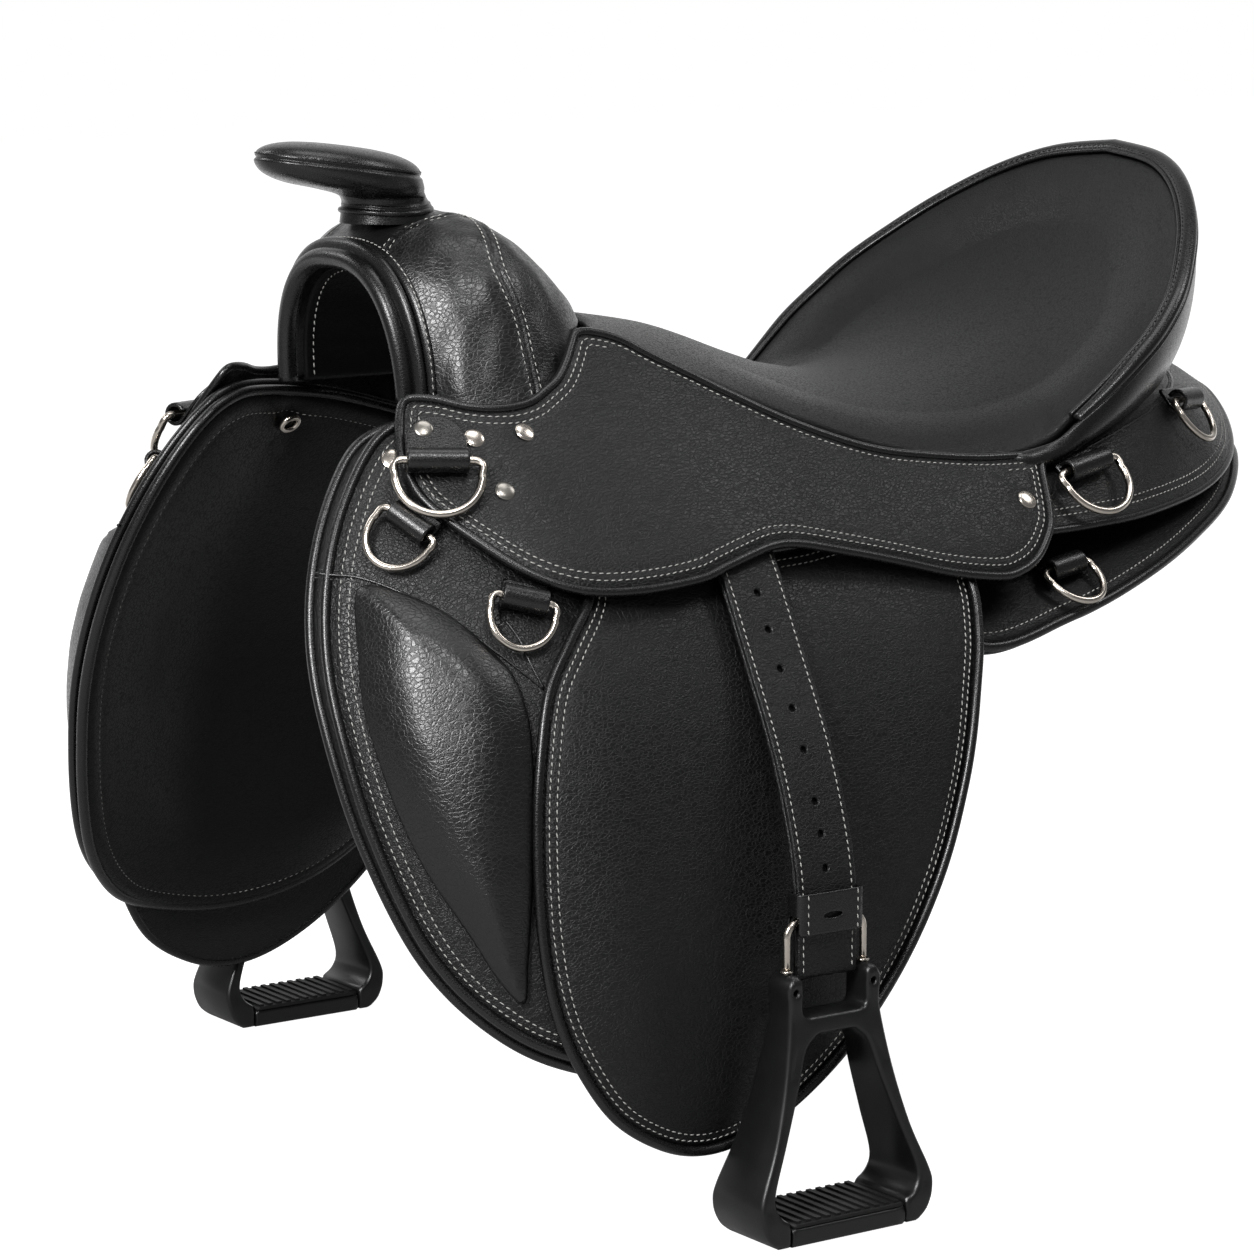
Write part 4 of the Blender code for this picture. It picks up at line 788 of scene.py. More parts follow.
def seam_lines(lines, side):
    """All rows of one thread on one body, as the lines that the stitch tree reads."""
    flip = (side, 1, 1)
    points, edges, outs = [], [], []
    for line, normals, closed in lines:
        start, count = len(points), len(line)
        points += (line * flip).tolist()
        outs += (normals * flip).tolist()
        edges += [(start + k, start + k + 1) for k in range(count - 1)]
        if closed:
            edges.append((start + count - 1, start))
    mesh = bpy.data.meshes.new("seam_lines")
    mesh.from_pydata(points, edges, [])
    point_directions(mesh, outs)
    return in_scene("seam_lines", mesh)


print("sewing ready")

# %% [markdown]
# ## The leathers of one side
# From the horse outwards lie the padded front panel, the flap with its knee block, the fender and the jockey.
# The edge of each is rolled round a cord: a round roll on the border, a groove beside it, then two rows of
# white sewing. The panel is a real cushion: its horse side swells towards the middle and is pulled in again at
# the piping. One set of outlines makes the near side, and the off side is its mirror.

# %% Outlines of the side leathers, (y, z)
JOCKEY_OUTLINE = [
    (-0.272, 0.057), (-0.277, 0.043), (-0.278, 0.033), (-0.275, 0.020), (-0.261, 0.003), (-0.242, -0.015),
    (-0.219, -0.026), (-0.189, -0.030), (-0.154, -0.029), (-0.135, -0.025), (-0.117, -0.021), (-0.101, -0.018),
    (-0.083, -0.018), (-0.050, -0.023), (-0.017, -0.029), (0.017, -0.036), (0.051, -0.040), (0.067, -0.038),
    (0.080, -0.033), (0.091, -0.025), (0.100, -0.015), (0.109, 0.007), (0.113, 0.016), (0.106, 0.017), (0.072, 0.018),
    (0.037, 0.021), (0.003, 0.025), (-0.029, 0.033), (-0.058, 0.043), (-0.085, 0.055), (-0.105, 0.066),
    (-0.123, 0.076), (-0.139, 0.086), (-0.154, 0.091), (-0.163, 0.091), (-0.168, 0.086), (-0.175, 0.078),
    (-0.184, 0.070), (-0.194, 0.065), (-0.204, 0.061), (-0.215, 0.060), (-0.227, 0.061), (-0.239, 0.064),
    (-0.249, 0.068), (-0.259, 0.070), (-0.266, 0.068)]
FENDER_OUTLINE = [
    (-0.200, -0.008), (-0.214, -0.027), (-0.235, -0.048), (-0.252, -0.071), (-0.264, -0.109), (-0.269, -0.149),
    (-0.270, -0.189), (-0.266, -0.225), (-0.255, -0.257), (-0.235, -0.287), (-0.202, -0.306), (-0.168, -0.308),
    (-0.130, -0.294), (-0.091, -0.267), (-0.057, -0.231), (-0.027, -0.187), (-0.005, -0.142), (0.013, -0.096),
    (0.026, -0.066), (0.033, -0.039), (0.024, -0.020), (-0.030, -0.010), (-0.075, -0.013), (-0.115, -0.014),
    (-0.155, -0.0125)]
FLAP_OUTLINE = [
    (-0.240, 0.063), (-0.270, 0.061), (-0.293, 0.044), (-0.317, 0.008), (-0.3325, -0.034), (-0.338, -0.080),
    (-0.333, -0.137), (-0.3155, -0.198), (-0.287, -0.235), (-0.249, -0.2535), (-0.190, -0.262), (-0.130, -0.250),
    (-0.080, -0.215), (-0.040, -0.155), (-0.014, -0.090), (-0.008, -0.030), (-0.012, 0.008), (-0.060, 0.022),
    (-0.130, 0.040), (-0.190, 0.056)]
PANEL_OUTLINE = [
    (-0.2405, 0.0644), (-0.2712, 0.0632), (-0.2971, 0.0491), (-0.3223, 0.0118), (-0.3387, -0.0319), (-0.3445, -0.0799),
    (-0.3391, -0.1394), (-0.3202, -0.2024), (-0.2904, -0.2405), (-0.2511, -0.2597), (-0.1899, -0.2685),
    (-0.1278, -0.2561), (-0.0758, -0.2200), (-0.0341, -0.1578), (-0.0095, -0.0902), (-0.0056, -0.0293),
    (-0.0098, 0.0091), (-0.0580, 0.0236), (-0.1289, 0.0422), (-0.1900, 0.0580)]
KNEE_OUTLINE = [
    (-0.315, -0.018), (-0.3235, -0.048), (-0.3275, -0.081), (-0.3235, -0.120), (-0.3145, -0.155), (-0.301, -0.185),
    (-0.289, -0.211), (-0.279, -0.222), (-0.2765, -0.200), (-0.273, -0.169), (-0.269, -0.130), (-0.265, -0.100),
    (-0.263, -0.080), (-0.265, -0.060), (-0.275, -0.042), (-0.291, -0.0255)]
JOCKEY_LIFT = [(-0.32, 0.0075), (-0.26, 0.0075), (-0.18, 0.0188), (-0.140, 0.0219), (-0.115, 0.0222),
               (-0.09, 0.0213), (-0.05, 0.0178), (0.03, 0.012), (0.20, 0.012)]
RIVET_PLACES = [(-0.2634, 0.0528), (-0.2411, 0.0483), (-0.2158, 0.0474), (-0.2381, 0.0230), (0.0884, -0.0054)]
print("points of the jockey's outline:", len(JOCKEY_OUTLINE))


# %% A leather with a rolled edge, laid on the side
GROOVE_DEPTH, STITCH_SINK, WAVE_SIZE = 1.4 * MM, 0.12 * MM, 0.075
RIVET_DIP, RIVET_DIP_WIDTH = 1.3 * MM, 8 * MM
FOLD_HEIGHT, FOLD_AWAY, FOLD_WIDTH, FOLDS_ROUND = 0.28 * MM, 12 * MM, 5.5 * MM, 11
REAR_PLUMP, REAR_REACH = 1.6 * MM, 0.024
PILLOW_RISE, PILLOW_REACH = 2.2 * MM, 0.045


def ring_plan(piping, rows, last):
    """Distances from the edge at which a piped leather needs points."""
    plan = [0.5 * piping, piping + 0.3 * MM, piping + 1.1 * MM, piping + 2.2 * MM]
    for row in rows:
        plan += [row - 0.9 * MM, row, row + 0.9 * MM]
    return sorted(plan) + [last]


def no_relief(flat, edge):
    return 0.0


def dimples(flat, edge):
    """Leather drawn down to each rivet, with small folds that run out from it, and plump at the rear."""
    rise = REAR_PLUMP * smooth_step(flat[:, 0], -0.02, 0.06) * domed(edge, REAR_REACH)
    for y, z in RIVET_PLACES:
        away = np.hypot(flat[:, 0] - y, flat[:, 1] - z)
        angle = np.arctan2(flat[:, 1] - z, flat[:, 0] - y)
        rise -= RIVET_DIP * bell(away, RIVET_DIP_WIDTH)
        folds = FOLD_HEIGHT * np.cos(FOLDS_ROUND * angle + 40 * y)
        rise += folds * bell(away - FOLD_AWAY, FOLD_WIDTH) * smooth_step(edge, 6 * MM, 11 * MM)
    return rise


def pillow(flat, edge):
    return PILLOW_RISE * domed(edge, PILLOW_REACH) - PILLOW_RISE


def piped_leather(outline, lift, thick, piping, rows, seed, grid=6 * MM, waves=0.4 * MM, relief_of=no_relief,
                  spans=None):
    """Sheet, edge roll and rows of sewing of a leather laid on the side; spans keeps parts of the inner row."""
    shape = Shape()

    def outer(flat, edge):
        points, normal = on_side(flat, lift(flat))
        relief = -GROOVE_DEPTH * (1 - smooth_step(edge, 0.8 * piping, piping + 2.2 * MM)) - sewn_dip(edge, rows)
        relief += waves * ripple(points, WAVE_SIZE, seed) * smooth_step(edge, 0, 12 * MM) + relief_of(flat, edge)
        return points + normal * relief[:, None]

    def inner(flat, edge):
        return on_side(flat, lift(flat) - thick)[0]

    def sewn(flat, row):
        return on_side(flat, lift(flat) - STITCH_SINK + relief_of(flat, np.full(len(flat), row)))

    shape.add_sheet(leather_net(outline, ring_plan(piping, rows, rows[-1] + 4 * MM), grid), outer, inner)
    border = even_path(outline, closed=True, step=2.2 * MM)
    path, normal = on_side(border, lift(border) - 0.45 * thick)
    shape.add(*roll(path, piping, closed=True, up=normal), slot=1)
    for row in rows:
        edge_seam("white", outline, row, sewn, spans if row == rows[-1] else None)
    return shape


# %% Flap, fender and jockey
FLAP_PIPING, FENDER_PIPING, JOCKEY_PIPING, PANEL_PIPING = 3.0 * MM, 2.7 * MM, 2.5 * MM, 3.3 * MM
FLAP_ROWS, FENDER_ROWS, JOCKEY_ROWS = (4.9 * MM, 8.3 * MM), (5.2 * MM, 8.6 * MM), (4.6 * MM, 7.8 * MM)
FENDER_LIFT = 5.6 * MM


def jockey_double_sewn(line):
    """The inner row is left out along the seat, as on the real jockey."""
    return (line[:, 0] < -0.15) | (line[:, 1] < 0.005) | (line[:, 0] > 0.085)


flap = piped_leather(FLAP_OUTLINE, lambda flat: 0.0, 4 * MM, FLAP_PIPING, FLAP_ROWS, 2)
fender = piped_leather(FENDER_OUTLINE, lambda flat: FENDER_LIFT, 3.2 * MM, FENDER_PIPING,
                       FENDER_ROWS, 3, waves=0.7 * MM, relief_of=pillow)
jockey = piped_leather(JOCKEY_OUTLINE, lambda flat: value_at(JOCKEY_LIFT, flat[:, 0]), 4 * MM, JOCKEY_PIPING,
                       JOCKEY_ROWS, 4, grid=2.8 * MM, relief_of=dimples, spans=jockey_double_sewn)
both_sides(*[(name + "_leather_{}", shape, (grained, smooth_hide), "saddle", "black_leather", name + "_{}")
             for name, shape in (("flap", flap), ("fender", fender), ("jockey", jockey))])
print("flap, fender and jockey points:", flap.total, fender.total, jockey.total)

# %% Seams on the flap above and behind the knee block
KNEE_SEAM = [(-0.3300, -0.0115), (-0.3249, -0.0121), (-0.3142, -0.0131), (-0.3007, -0.0194), (-0.2877, -0.0286),
             (-0.2744, -0.0421), (-0.2610, -0.0566), (-0.2517, -0.0666)]
RING_SEAM = [(-0.2600, -0.0330), (-0.2563, -0.0425), (-0.2546, -0.0544), (-0.2517, -0.0666)]
SEAM_CORD, BLACK_ROW_GAP, BLACK_SINK = 0.8 * MM, 2.2 * MM, 0.05 * MM
cords = Shape()
for line in (KNEE_SEAM, RING_SEAM):
    middle = even_path(line, step=2 * MM)
    path, normal = on_side(middle, 0.15 * MM)
    cords.add(*roll(path, SEAM_CORD, sides=8, up=normal))
    for gap in (-BLACK_ROW_GAP, BLACK_ROW_GAP):
        seam("side", "black", *on_side(middle + square_to(middle) * gap, -BLACK_SINK))
both_sides(("flap_seams_{}", cords, (smooth_hide,), "saddle", "black_leather"))
print("flap seams laid")

# %% Knee block
KNEE_LIFT, KNEE_RISE, KNEE_EDGE, KNEE_REACH = 1.6 * MM, 12 * MM, 1.2 * MM, 24 * MM


def knee_outer(flat, edge):
    points, normal = on_side(flat, KNEE_LIFT)
    rise = KNEE_RISE * (0.16 + 1.04 * domed(edge, KNEE_REACH)) - round_edge(edge, KNEE_EDGE)
    rise += 0.30 * MM * ripple(points, 0.030, 9) * smooth_step(edge, 2 * MM, 12 * MM)
    return points + normal * rise[:, None]


def knee_inner(flat, edge):
    return on_side(flat, KNEE_LIFT + round_edge(edge, KNEE_EDGE))[0]


def grown(outline, distance):
    middle = np.mean(outline, axis=0)
    return np.array(outline) + unit(np.array(outline) - middle) * distance


knee = Shape().add_sheet(leather_net(KNEE_OUTLINE, (0.5 * MM, KNEE_EDGE, 2.4 * MM, 4.5 * MM, 7.5 * MM), 3.2 * MM,
                                     step=2 * MM), knee_outer, knee_inner)
edge_seam("black", grown(KNEE_OUTLINE, 4.2 * MM), 1.6 * MM, lambda flat, row: on_side(flat, -BLACK_SINK))
for block in both_sides(("knee_block_leather_{}", knee, (domed_hide,), "saddle", "black_leather", "knee_block_{}")):
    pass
print("knee block points:", knee.total)

# %% Padded front panel
PANEL_PAD, PANEL_FACE, PANEL_EDGE, PANEL_REACH = 24 * MM, -6 * MM, 4 * MM, 0.05
PANEL_ROW = 7.5 * MM
EYELET = (-0.224, 0.053)


def panel_depth(flat, edge):
    """Thickness of the pad, pulled in at the edge, at the sewn row and round the eyelet."""
    depth = PANEL_PAD * (0.34 + 0.66 * domed(edge, PANEL_REACH))
    away = np.hypot(flat[:, 0] - EYELET[0], flat[:, 1] - EYELET[1])
    depth -= 2.5 * MM * bell(away, 9 * MM)
    folds = np.cos(9 * np.arctan2(flat[:, 1] - EYELET[1], flat[:, 0] - EYELET[0]))
    depth += 0.8 * MM * folds * bell(away - 14 * MM, 8 * MM) * smooth_step(edge, 4 * MM, 10 * MM)
    return depth - sewn_dip(edge, (PANEL_ROW,), 0.9 * MM, 1.6 * MM)


def panel_inner(flat, edge):
    points, normal = on_side(flat, PANEL_FACE - panel_depth(flat, edge) + round_edge(edge, PANEL_EDGE))
    return points + normal * (0.7 * MM * ripple(points, 0.05, 12) * smooth_step(edge, 3 * MM, 20 * MM))[:, None]


def panel_outer(flat, edge):
    return on_side(flat, PANEL_FACE - round_edge(edge, PANEL_EDGE))[0]


def under_panel(flat, row):
    points, normals = on_side(flat, PANEL_FACE + 0.2 * MM - panel_depth(flat, np.full(len(flat), row)))
    return points, -normals


PANEL_RINGS = (1 * MM, 2.4 * MM, 4 * MM, 6 * MM, PANEL_ROW, 9 * MM, 13 * MM)
panel = Shape().add_sheet(leather_net(PANEL_OUTLINE, PANEL_RINGS, 6.5 * MM), panel_outer, panel_inner)
border = even_path(PANEL_OUTLINE, closed=True, step=2.2 * MM)
path, normal = on_side(border, PANEL_FACE - 3.0 * MM)
panel.add(*roll(path, PANEL_PIPING, closed=True, up=normal), slot=1)
edge_seam("white", PANEL_OUTLINE, PANEL_ROW, under_panel)
for pad in both_sides(("front_panel_leather_{}", panel, (soft_hide, smooth_hide), "saddle", "panel_leather",
                       "front_panel_{}")):
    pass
print("panel points:", panel.total)

# %% [markdown]
# ## Seat, swell and cantle
# The seat is one patch spanned between four curves: its centre line, its side, its front and the rim. The
# crown, a power of the distance from the centre, makes the twist narrow and high and the dish behind it wide.
# A fine grid over the patch is given a thickness that thins towards the edge, which draws the leather down to
# its welt as on a stretched cover. The swell over the pommel is a second such patch with its seams pressed in.

# %% Patches
def half_patch(centre, side, front, rear, crown, u, v):
    share = np.maximum(u, 0)**crown(v)

    def ruled(at):
        inner, outer = centre(at), side(at)
        mixed = inner + (outer - inner) * share[..., None]
        mixed[..., 0] = inner[..., 0] + (outer[..., 0] - inner[..., 0]) * u
        return mixed

    v_wide = v[..., None]
    return (ruled(v) + (front(u) - ruled(np.zeros_like(v))) * (1 - v_wide)
            + (rear(u) - ruled(np.ones_like(v))) * v_wide)


def both_halves(half):
    """Patch over u from -1, the off side, to 1, the near side."""
    def whole(u, v):
        u, v = np.broadcast_arrays(np.asarray(u, dtype=float), np.asarray(v, dtype=float))
        points = half(np.abs(u), v)
        points[..., 0] = np.where(np.abs(u) < 1e-9, 0, points[..., 0]) * np.sign(u)
        return points
    return whole


def patch_normal(whole, u, v, step=0.004):
    u, v = np.broadcast_arrays(np.asarray(u, dtype=float), np.asarray(v, dtype=float))
    u0, u1 = np.clip(u - step, -1, 1), np.clip(u + step, -1, 1)
    v0, v1 = np.clip(v - step, 0, 1), np.clip(v + step, 0, 1)
    return unit(np.cross(whole(u1, v) - whole(u0, v), whole(u, v1) - whole(u, v0)))


def patch_shape(whole, us, vs, thick, radius, relief, flip=1):
    """Closed leather over a patch; thick and relief take (points, u, v, edge)."""
    u, v = np.meshgrid(us, vs)
    points = whole(u, v)
    normal = (patch_normal(whole, u, v) * flip).reshape(-1, 3)
    rows, columns = u.shape
    rim = np.concatenate([points[0], points[1:, -1], points[-1, -2::-1], points[-2:0:-1, 0], points[:1, 0]])
    points, u, v = points.reshape(-1, 3), u.ravel(), v.ravel()
    edge = line_distance(points, rim)
    edge[edge < 1e-6] = 0
    drop = round_edge(edge, radius)
    top = points + normal * (relief(points, u, v, edge) - drop)[:, None]
    under = points - normal * (thick(points, u, v, edge) - drop)[:, None]
    return Shape().add_shell(top, under, grid_faces(rows, columns), edge)


def even_thick(thick):
    return lambda points, u, v, edge: thick


def facing_out(normal, across, share_up):
    """Normals turned away from the middle plane and, by a share, up."""
    return normal * np.sign((normal * stacked(np.sign(across), 0, share_up)).sum(axis=1, keepdims=True))


def facing_up(normal):
    return normal * np.sign(normal[:, 2:])


def spread(count, low=-1.0, high=1.0, crowd=0.35):
    """Values from low to high, closer together near both ends."""
    t = np.linspace(0, 1, count)
    t = (1 - crowd) * t + crowd * (0.5 - 0.5 * np.cos(math.pi * t))
    return low + (high - low) * t


# %% Seat
SEAT_SIDE = [
    (0.090, -0.152, 0.099), (0.100, -0.125, 0.090), (0.111, -0.093, 0.077), (0.122, -0.062, 0.062),
    (0.133, -0.029, 0.048), (0.140, 0.007, 0.035), (0.144, 0.046, 0.0267), (0.147, 0.087, 0.0222),
    (0.150, 0.118, 0.028), (0.153, 0.138, 0.043), (0.156, 0.157, 0.058), (0.157, 0.175, 0.073), (0.155, 0.194, 0.088),
    (0.148, 0.213, 0.105), (0.134, 0.232, 0.122)]
SEAT_REAR = [(0, 0.296, 0.179), (0.045, 0.290, 0.174), (0.080, 0.276, 0.162), (0.111, 0.255, 0.143),
             (0.134, 0.232, 0.122)]
SEAT_CENTRE = [
    (0, -0.108, 0.104), (0, -0.060, 0.096), (0, -0.010, 0.079), (0, 0.030, 0.067), (0, 0.085, 0.059),
    (0, 0.140, 0.063), (0, 0.195, 0.082), (0, 0.245, 0.118), (0, 0.277, 0.152), (0, 0.296, 0.179)]
SEAT_CROWN = [(0, 2.4), (0.35, 3.0), (0.6, 2.4), (1, 2.0)]
SEAT_THICK, SEAT_PLUMP, SEAT_PLUMP_REACH = 18 * MM, 3.6 * MM, 0.050
seat_side, seat_rear, seat_centre = Track(SEAT_SIDE), Track(SEAT_REAR), Track(SEAT_CENTRE)


def seat_front(u):
    return stacked(SEAT_SIDE[0][0] * u, SEAT_CENTRE[0][1] - 0.044 * u**2, SEAT_CENTRE[0][2] - 0.005 * u**2)


def seat_half(u, v):
    return half_patch(seat_centre, seat_side, seat_front, seat_rear, lambda at: value_at(SEAT_CROWN, at), u, v)


seat_patch = both_halves(seat_half)


def seat_thickness(points, u, v, edge):
    inward = np.minimum.reduce([np.ones(len(u)), (1 - np.abs(u)) / 0.3, v / 0.1, (1 - v) / 0.12])
    return SEAT_THICK * (0.30 + 0.70 * domed(inward, 1))


def seat_relief(points, u, v, edge):
    plump = SEAT_PLUMP * np.sin(math.pi * np.clip(edge / SEAT_PLUMP_REACH, 0, 1)) * smooth_step(v, 0.08, 0.35)
    return plump + 0.25 * MM * ripple(points, 0.05, 21) * smooth_step(edge, 2 * MM, 15 * MM)


seat = patch_shape(seat_patch, spread(109), spread(130, 0, 1), seat_thickness, 2.7 * MM, seat_relief)
seat_piece = make_piece("seat_leather", seat, NEAR, (seat_hide,), "saddle", ("seat_cushion",))
print("seat points:", seat.total)

# %% Rim of the cantle: two welts, a broad roll between them and its sewing
RIM_NORMAL = np.array((0, -0.665, 0.747))
BROAD_ROLL, BROAD_FLAT, END_TAPER, WELT = 5.4 * MM, 0.80, 0.30, 1.5 * MM


def rim_path(outward, raised, count=90, last=9):
    """Line round the rim, moved outward and along its normal, that ends at a point of SEAT_SIDE."""
    half = even_path(SEAT_REAR + SEAT_SIDE[-2:last - 1:-1], count)
    heading = np.gradient(half, axis=0)
    heading[0] = (1, 0, 0)
    away = unit(np.cross(RIM_NORMAL, heading))
    half = half + away * outward + RIM_NORMAL * raised
    half[0, 0] = 0
    return np.concatenate([half[::-1], half[1:] * (-1, 1, 1)])


rim = Shape()
broad = rim_path(BROAD_ROLL, -1.8 * MM)
taper = 1 - END_TAPER * smooth_step(np.abs(np.linspace(-1, 1, len(broad))), 0.80, 1.0)
rim.add(*roll(broad, BROAD_ROLL * taper, sides=16, flat=BROAD_FLAT, up=np.broadcast_to(RIM_NORMAL, broad.shape)))
for outward, raised in ((0.6 * MM, 0.6 * MM), (7.8 * MM, -6.4 * MM)):
    rim.add(*roll(rim_path(outward, raised), WELT, sides=8))
make_piece("cantle_rim", rim, NEAR, (smooth_hide,), "saddle", ("cantle_binding",))
sewn = rim_path(3.4 * MM, 2.5 * MM)[8:-8]
seam("centre", "black", sewn, np.broadcast_to(RIM_NORMAL, sewn.shape))
print("rim points:", rim.total)

# %% Cantle back
SKIRT_OUTER = [
    (0.180, 0.070, -0.016), (0.180, 0.105, -0.016), (0.179, 0.138, -0.015), (0.171, 0.184, -0.013),
    (0.150, 0.245, -0.006), (0.122, 0.290, 0.006), (0.080, 0.326, 0.020), (0.035, 0.350, 0.034), (0, 0.357, 0.040)]
SKIRT_INNER = [
    (0.146, 0.070, 0.012), (0.148, 0.105, 0.013), (0.146, 0.138, 0.022), (0.140, 0.175, 0.034), (0.124, 0.215, 0.045),
    (0.098, 0.250, 0.053), (0.065, 0.272, 0.058), (0.030, 0.283, 0.061), (0, 0.286, 0.062)]
CANTLE_BULGE, CANTLE_COUNT = 6 * MM, 120
cantle_top = Track(rim_path(4.2 * MM, -3.4 * MM, CANTLE_COUNT, 7)[CANTLE_COUNT - 1::-1])
cantle_foot = Track([(x + 2 * MM, y, z + 3 * MM) for x, y, z in SKIRT_INNER[:0:-1]])


def cantle_half(u, v):
    top, foot = cantle_top(u), cantle_foot(u)
    top[..., 0], foot[..., 0] = top[..., 0] * (u > 1e-9), foot[..., 0] * smooth_step(u, 0, 0.05)
    points = top + (foot - top) * v[..., None]
    away = unit(stacked(points[..., 0], points[..., 1] - 0.1, 0))
    return points + away * (CANTLE_BULGE * np.sin(math.pi * v))[..., None]


def cantle_relief(points, u, v, edge):
    return 0.5 * MM * ripple(points, 0.04, 31)


cantle = patch_shape(both_halves(cantle_half), np.linspace(-1, 1, 121), np.linspace(0, 1, 22), even_thick(5 * MM),
                     2.0 * MM, cantle_relief, flip=-1)
make_piece("cantle_back_leather", cantle, NEAR, (smooth_hide,), "saddle", ("cantle_back",))
print("cantle points:", cantle.total)

# %% Swell, with its two sewn seams on each side
SWELL_FRONT_Y = -0.246
SWELL_TOP = [(0, -0.246, 0.147), (0, -0.222, 0.160), (0, -0.188, 0.163), (0, -0.147, 0.136),
             (0, -0.111, 0.1055)]
SWELL_SIDE = [(0.075, -0.240, 0.068), (0.094, -0.232, 0.063), (0.107, -0.213, 0.063), (0.110, -0.190, 0.069),
              (0.102, -0.171, 0.081), (0.087, -0.160, 0.095)]
ARCH_RAKE, ARCH_ROLL = 6 * MM, 5.5 * MM
ARCH_HALF, ARCH_FOOT, ARCH_TOP = 0.054, 0.068, 0.136
SWELL_CROWN, SWELL_PUFF = 2.6, 9 * MM
SWELL_SPAN, ROW_GAP, GAP_SCALE = (0.17, 0.10), 0.018, 0.14
swell_top, swell_side = Track(SWELL_TOP), Track(SWELL_SIDE)


def arch_point(angle, half, foot, top, y):
    across, up = np.maximum(np.cos(angle), 0), np.maximum(np.sin(angle), 0)
    return stacked(half * across**0.8, y + ARCH_RAKE * (1 - up), foot + (top - foot) * up**0.9)


def swell_half(u, v):
    def front(at):
        wide, foot, top = SWELL_SIDE[0][0], SWELL_SIDE[0][2], SWELL_TOP[0][2]
        return arch_point(0.5 * math.pi * (1 - at), wide, foot, top, SWELL_FRONT_Y)

    def rear(at):
        edge_of_seat = seat_front(at)
        return stacked(SWELL_SIDE[-1][0] * at, edge_of_seat[..., 1] - 5 * MM, edge_of_seat[..., 2] + 1 * MM)

    base = half_patch(swell_top, swell_side, front, rear, lambda at: np.full_like(at, SWELL_CROWN), u, v)
    puff = SWELL_PUFF * np.sin(math.pi * v) * np.sin(math.pi * u)**2
    return base + stacked(0.8, 0, 0.6) * puff[..., None]


swell_patch = both_halves(swell_half)
FRONT_SEAM = [(0.20, 0.40), (0.21, 0.30), (0.20, 0.20), (0.20, 0.12), (0.215, 0.06), (0.245, 0.015)]
SIDE_SEAM = [(0.14, 0.43), (0.275, 0.40), (0.42, 0.375), (0.562, 0.36), (0.663, 0.388), (0.763, 0.438),
             (0.863, 0.475), (0.95, 0.515), (0.99, 0.53)]
swell_seams = []
for line in (FRONT_SEAM, SIDE_SEAM):
    path = even_path(line, 70)
    for sign in (1, -1):
        swell_seams.append(swell_patch(sign * path[:, 0], path[:, 1]))
        for gap in (-ROW_GAP, ROW_GAP):
            heading = unit(np.gradient(path, axis=0) * SWELL_SPAN)
            square = stacked(heading[:, 1] / SWELL_SPAN[0], -heading[:, 0] / SWELL_SPAN[1])
            beside = path + square * gap * GAP_SCALE
            where = beside[(beside[:, 0] < 1) & (beside[:, 1] > 0)]
            normal = facing_up(patch_normal(swell_patch, sign * where[:, 0], where[:, 1]))
            seam("centre", "white", swell_patch(sign * where[:, 0], where[:, 1]) + normal * 0.35 * MM, normal)


def swell_relief(points, u, v, edge):
    near = np.minimum.reduce([line_distance(points, line) for line in swell_seams])
    groove = -1.0 * MM * bell(near, 0.7 * MM) + 0.55 * MM * bell(near - 2.2 * MM, 1.6 * MM)
    folds = 0.8 * MM * ripple(points * (1.0, 2.2, 0.8), 0.030, 41) * smooth_step(edge, 2 * MM, 12 * MM)
    return groove + folds


swell = patch_shape(swell_patch, spread(201, crowd=0.2), spread(120, 0, 1, 0.2), even_thick(5 * MM), 1.5 * MM,
                    swell_relief)
make_piece("swell_leather", swell, NEAR, (domed_hide,), "saddle", ("swell_cover",))
print("swell points:", swell.total)

# %% [markdown]
# ## Gullet, arch roll and horn
# The arch in front is lined with thin leather that creases where it is drawn round the steel plate, and its
# front edge carries a thick roll with a flange sewn on both sides. The horn is one loft: a collar, a short neck
# leaning forward and a flat hand hold, made by sliding an ellipse along and changing its size, with a pinched
# ring at the rim where the top cap is sewn to the lower cover.

# %% Gullet lining
LINING_BACK_Y = -0.118


def lining_half(u, v):
    foot, top = ARCH_FOOT, ARCH_TOP - 3 * MM - 0.052 * v**1.6
    return arch_point(0.5 * math.pi * (1 - u), ARCH_HALF, foot, top, SWELL_FRONT_Y + 1 * MM
                      + (LINING_BACK_Y - SWELL_FRONT_Y) * v)


def lining_relief(points, u, v, edge):
    calm = smooth_step(edge, 5 * MM, 16 * MM)
    crease = 1.2 * MM * np.abs(ripple(points * (1, 0.7, 1.6), 0.045, 51)) + 0.5 * MM * ripple(points, 0.016, 52)
    return -crease * calm


lining_patch = both_halves(lining_half)
lining = patch_shape(lining_patch, np.linspace(-1, 1, 121), np.linspace(0, 1, 60), even_thick(2.4 * MM), 1.0 * MM,
                     lining_relief, flip=-1)
make_piece("gullet_lining_leather", lining, NEAR, (lining_hide,), "saddle", ("gullet_lining",))
for sign in (1, -1):
    u = np.linspace(0.04, 0.97, 60) * sign
    normal = -facing_out(patch_normal(lining_patch, u, np.full(60, 0.05)), u, 0.5)
    seam("centre", "white", lining_patch(u, np.full(60, 0.045)) + normal * 0.3 * MM, normal)
print("lining points:", lining.total)

# %% Roll round the arch
def round_arch(wider, higher, y):
    """Path up one side of the arch and down the other, wider and higher than the lining."""
    turn = np.linspace(0, math.pi, 121)
    path = arch_point(np.minimum(turn, math.pi - turn), ARCH_HALF + wider, ARCH_FOOT, ARCH_TOP + higher, y)
    path[turn > 0.5 * math.pi, 0] *= -1
    return path


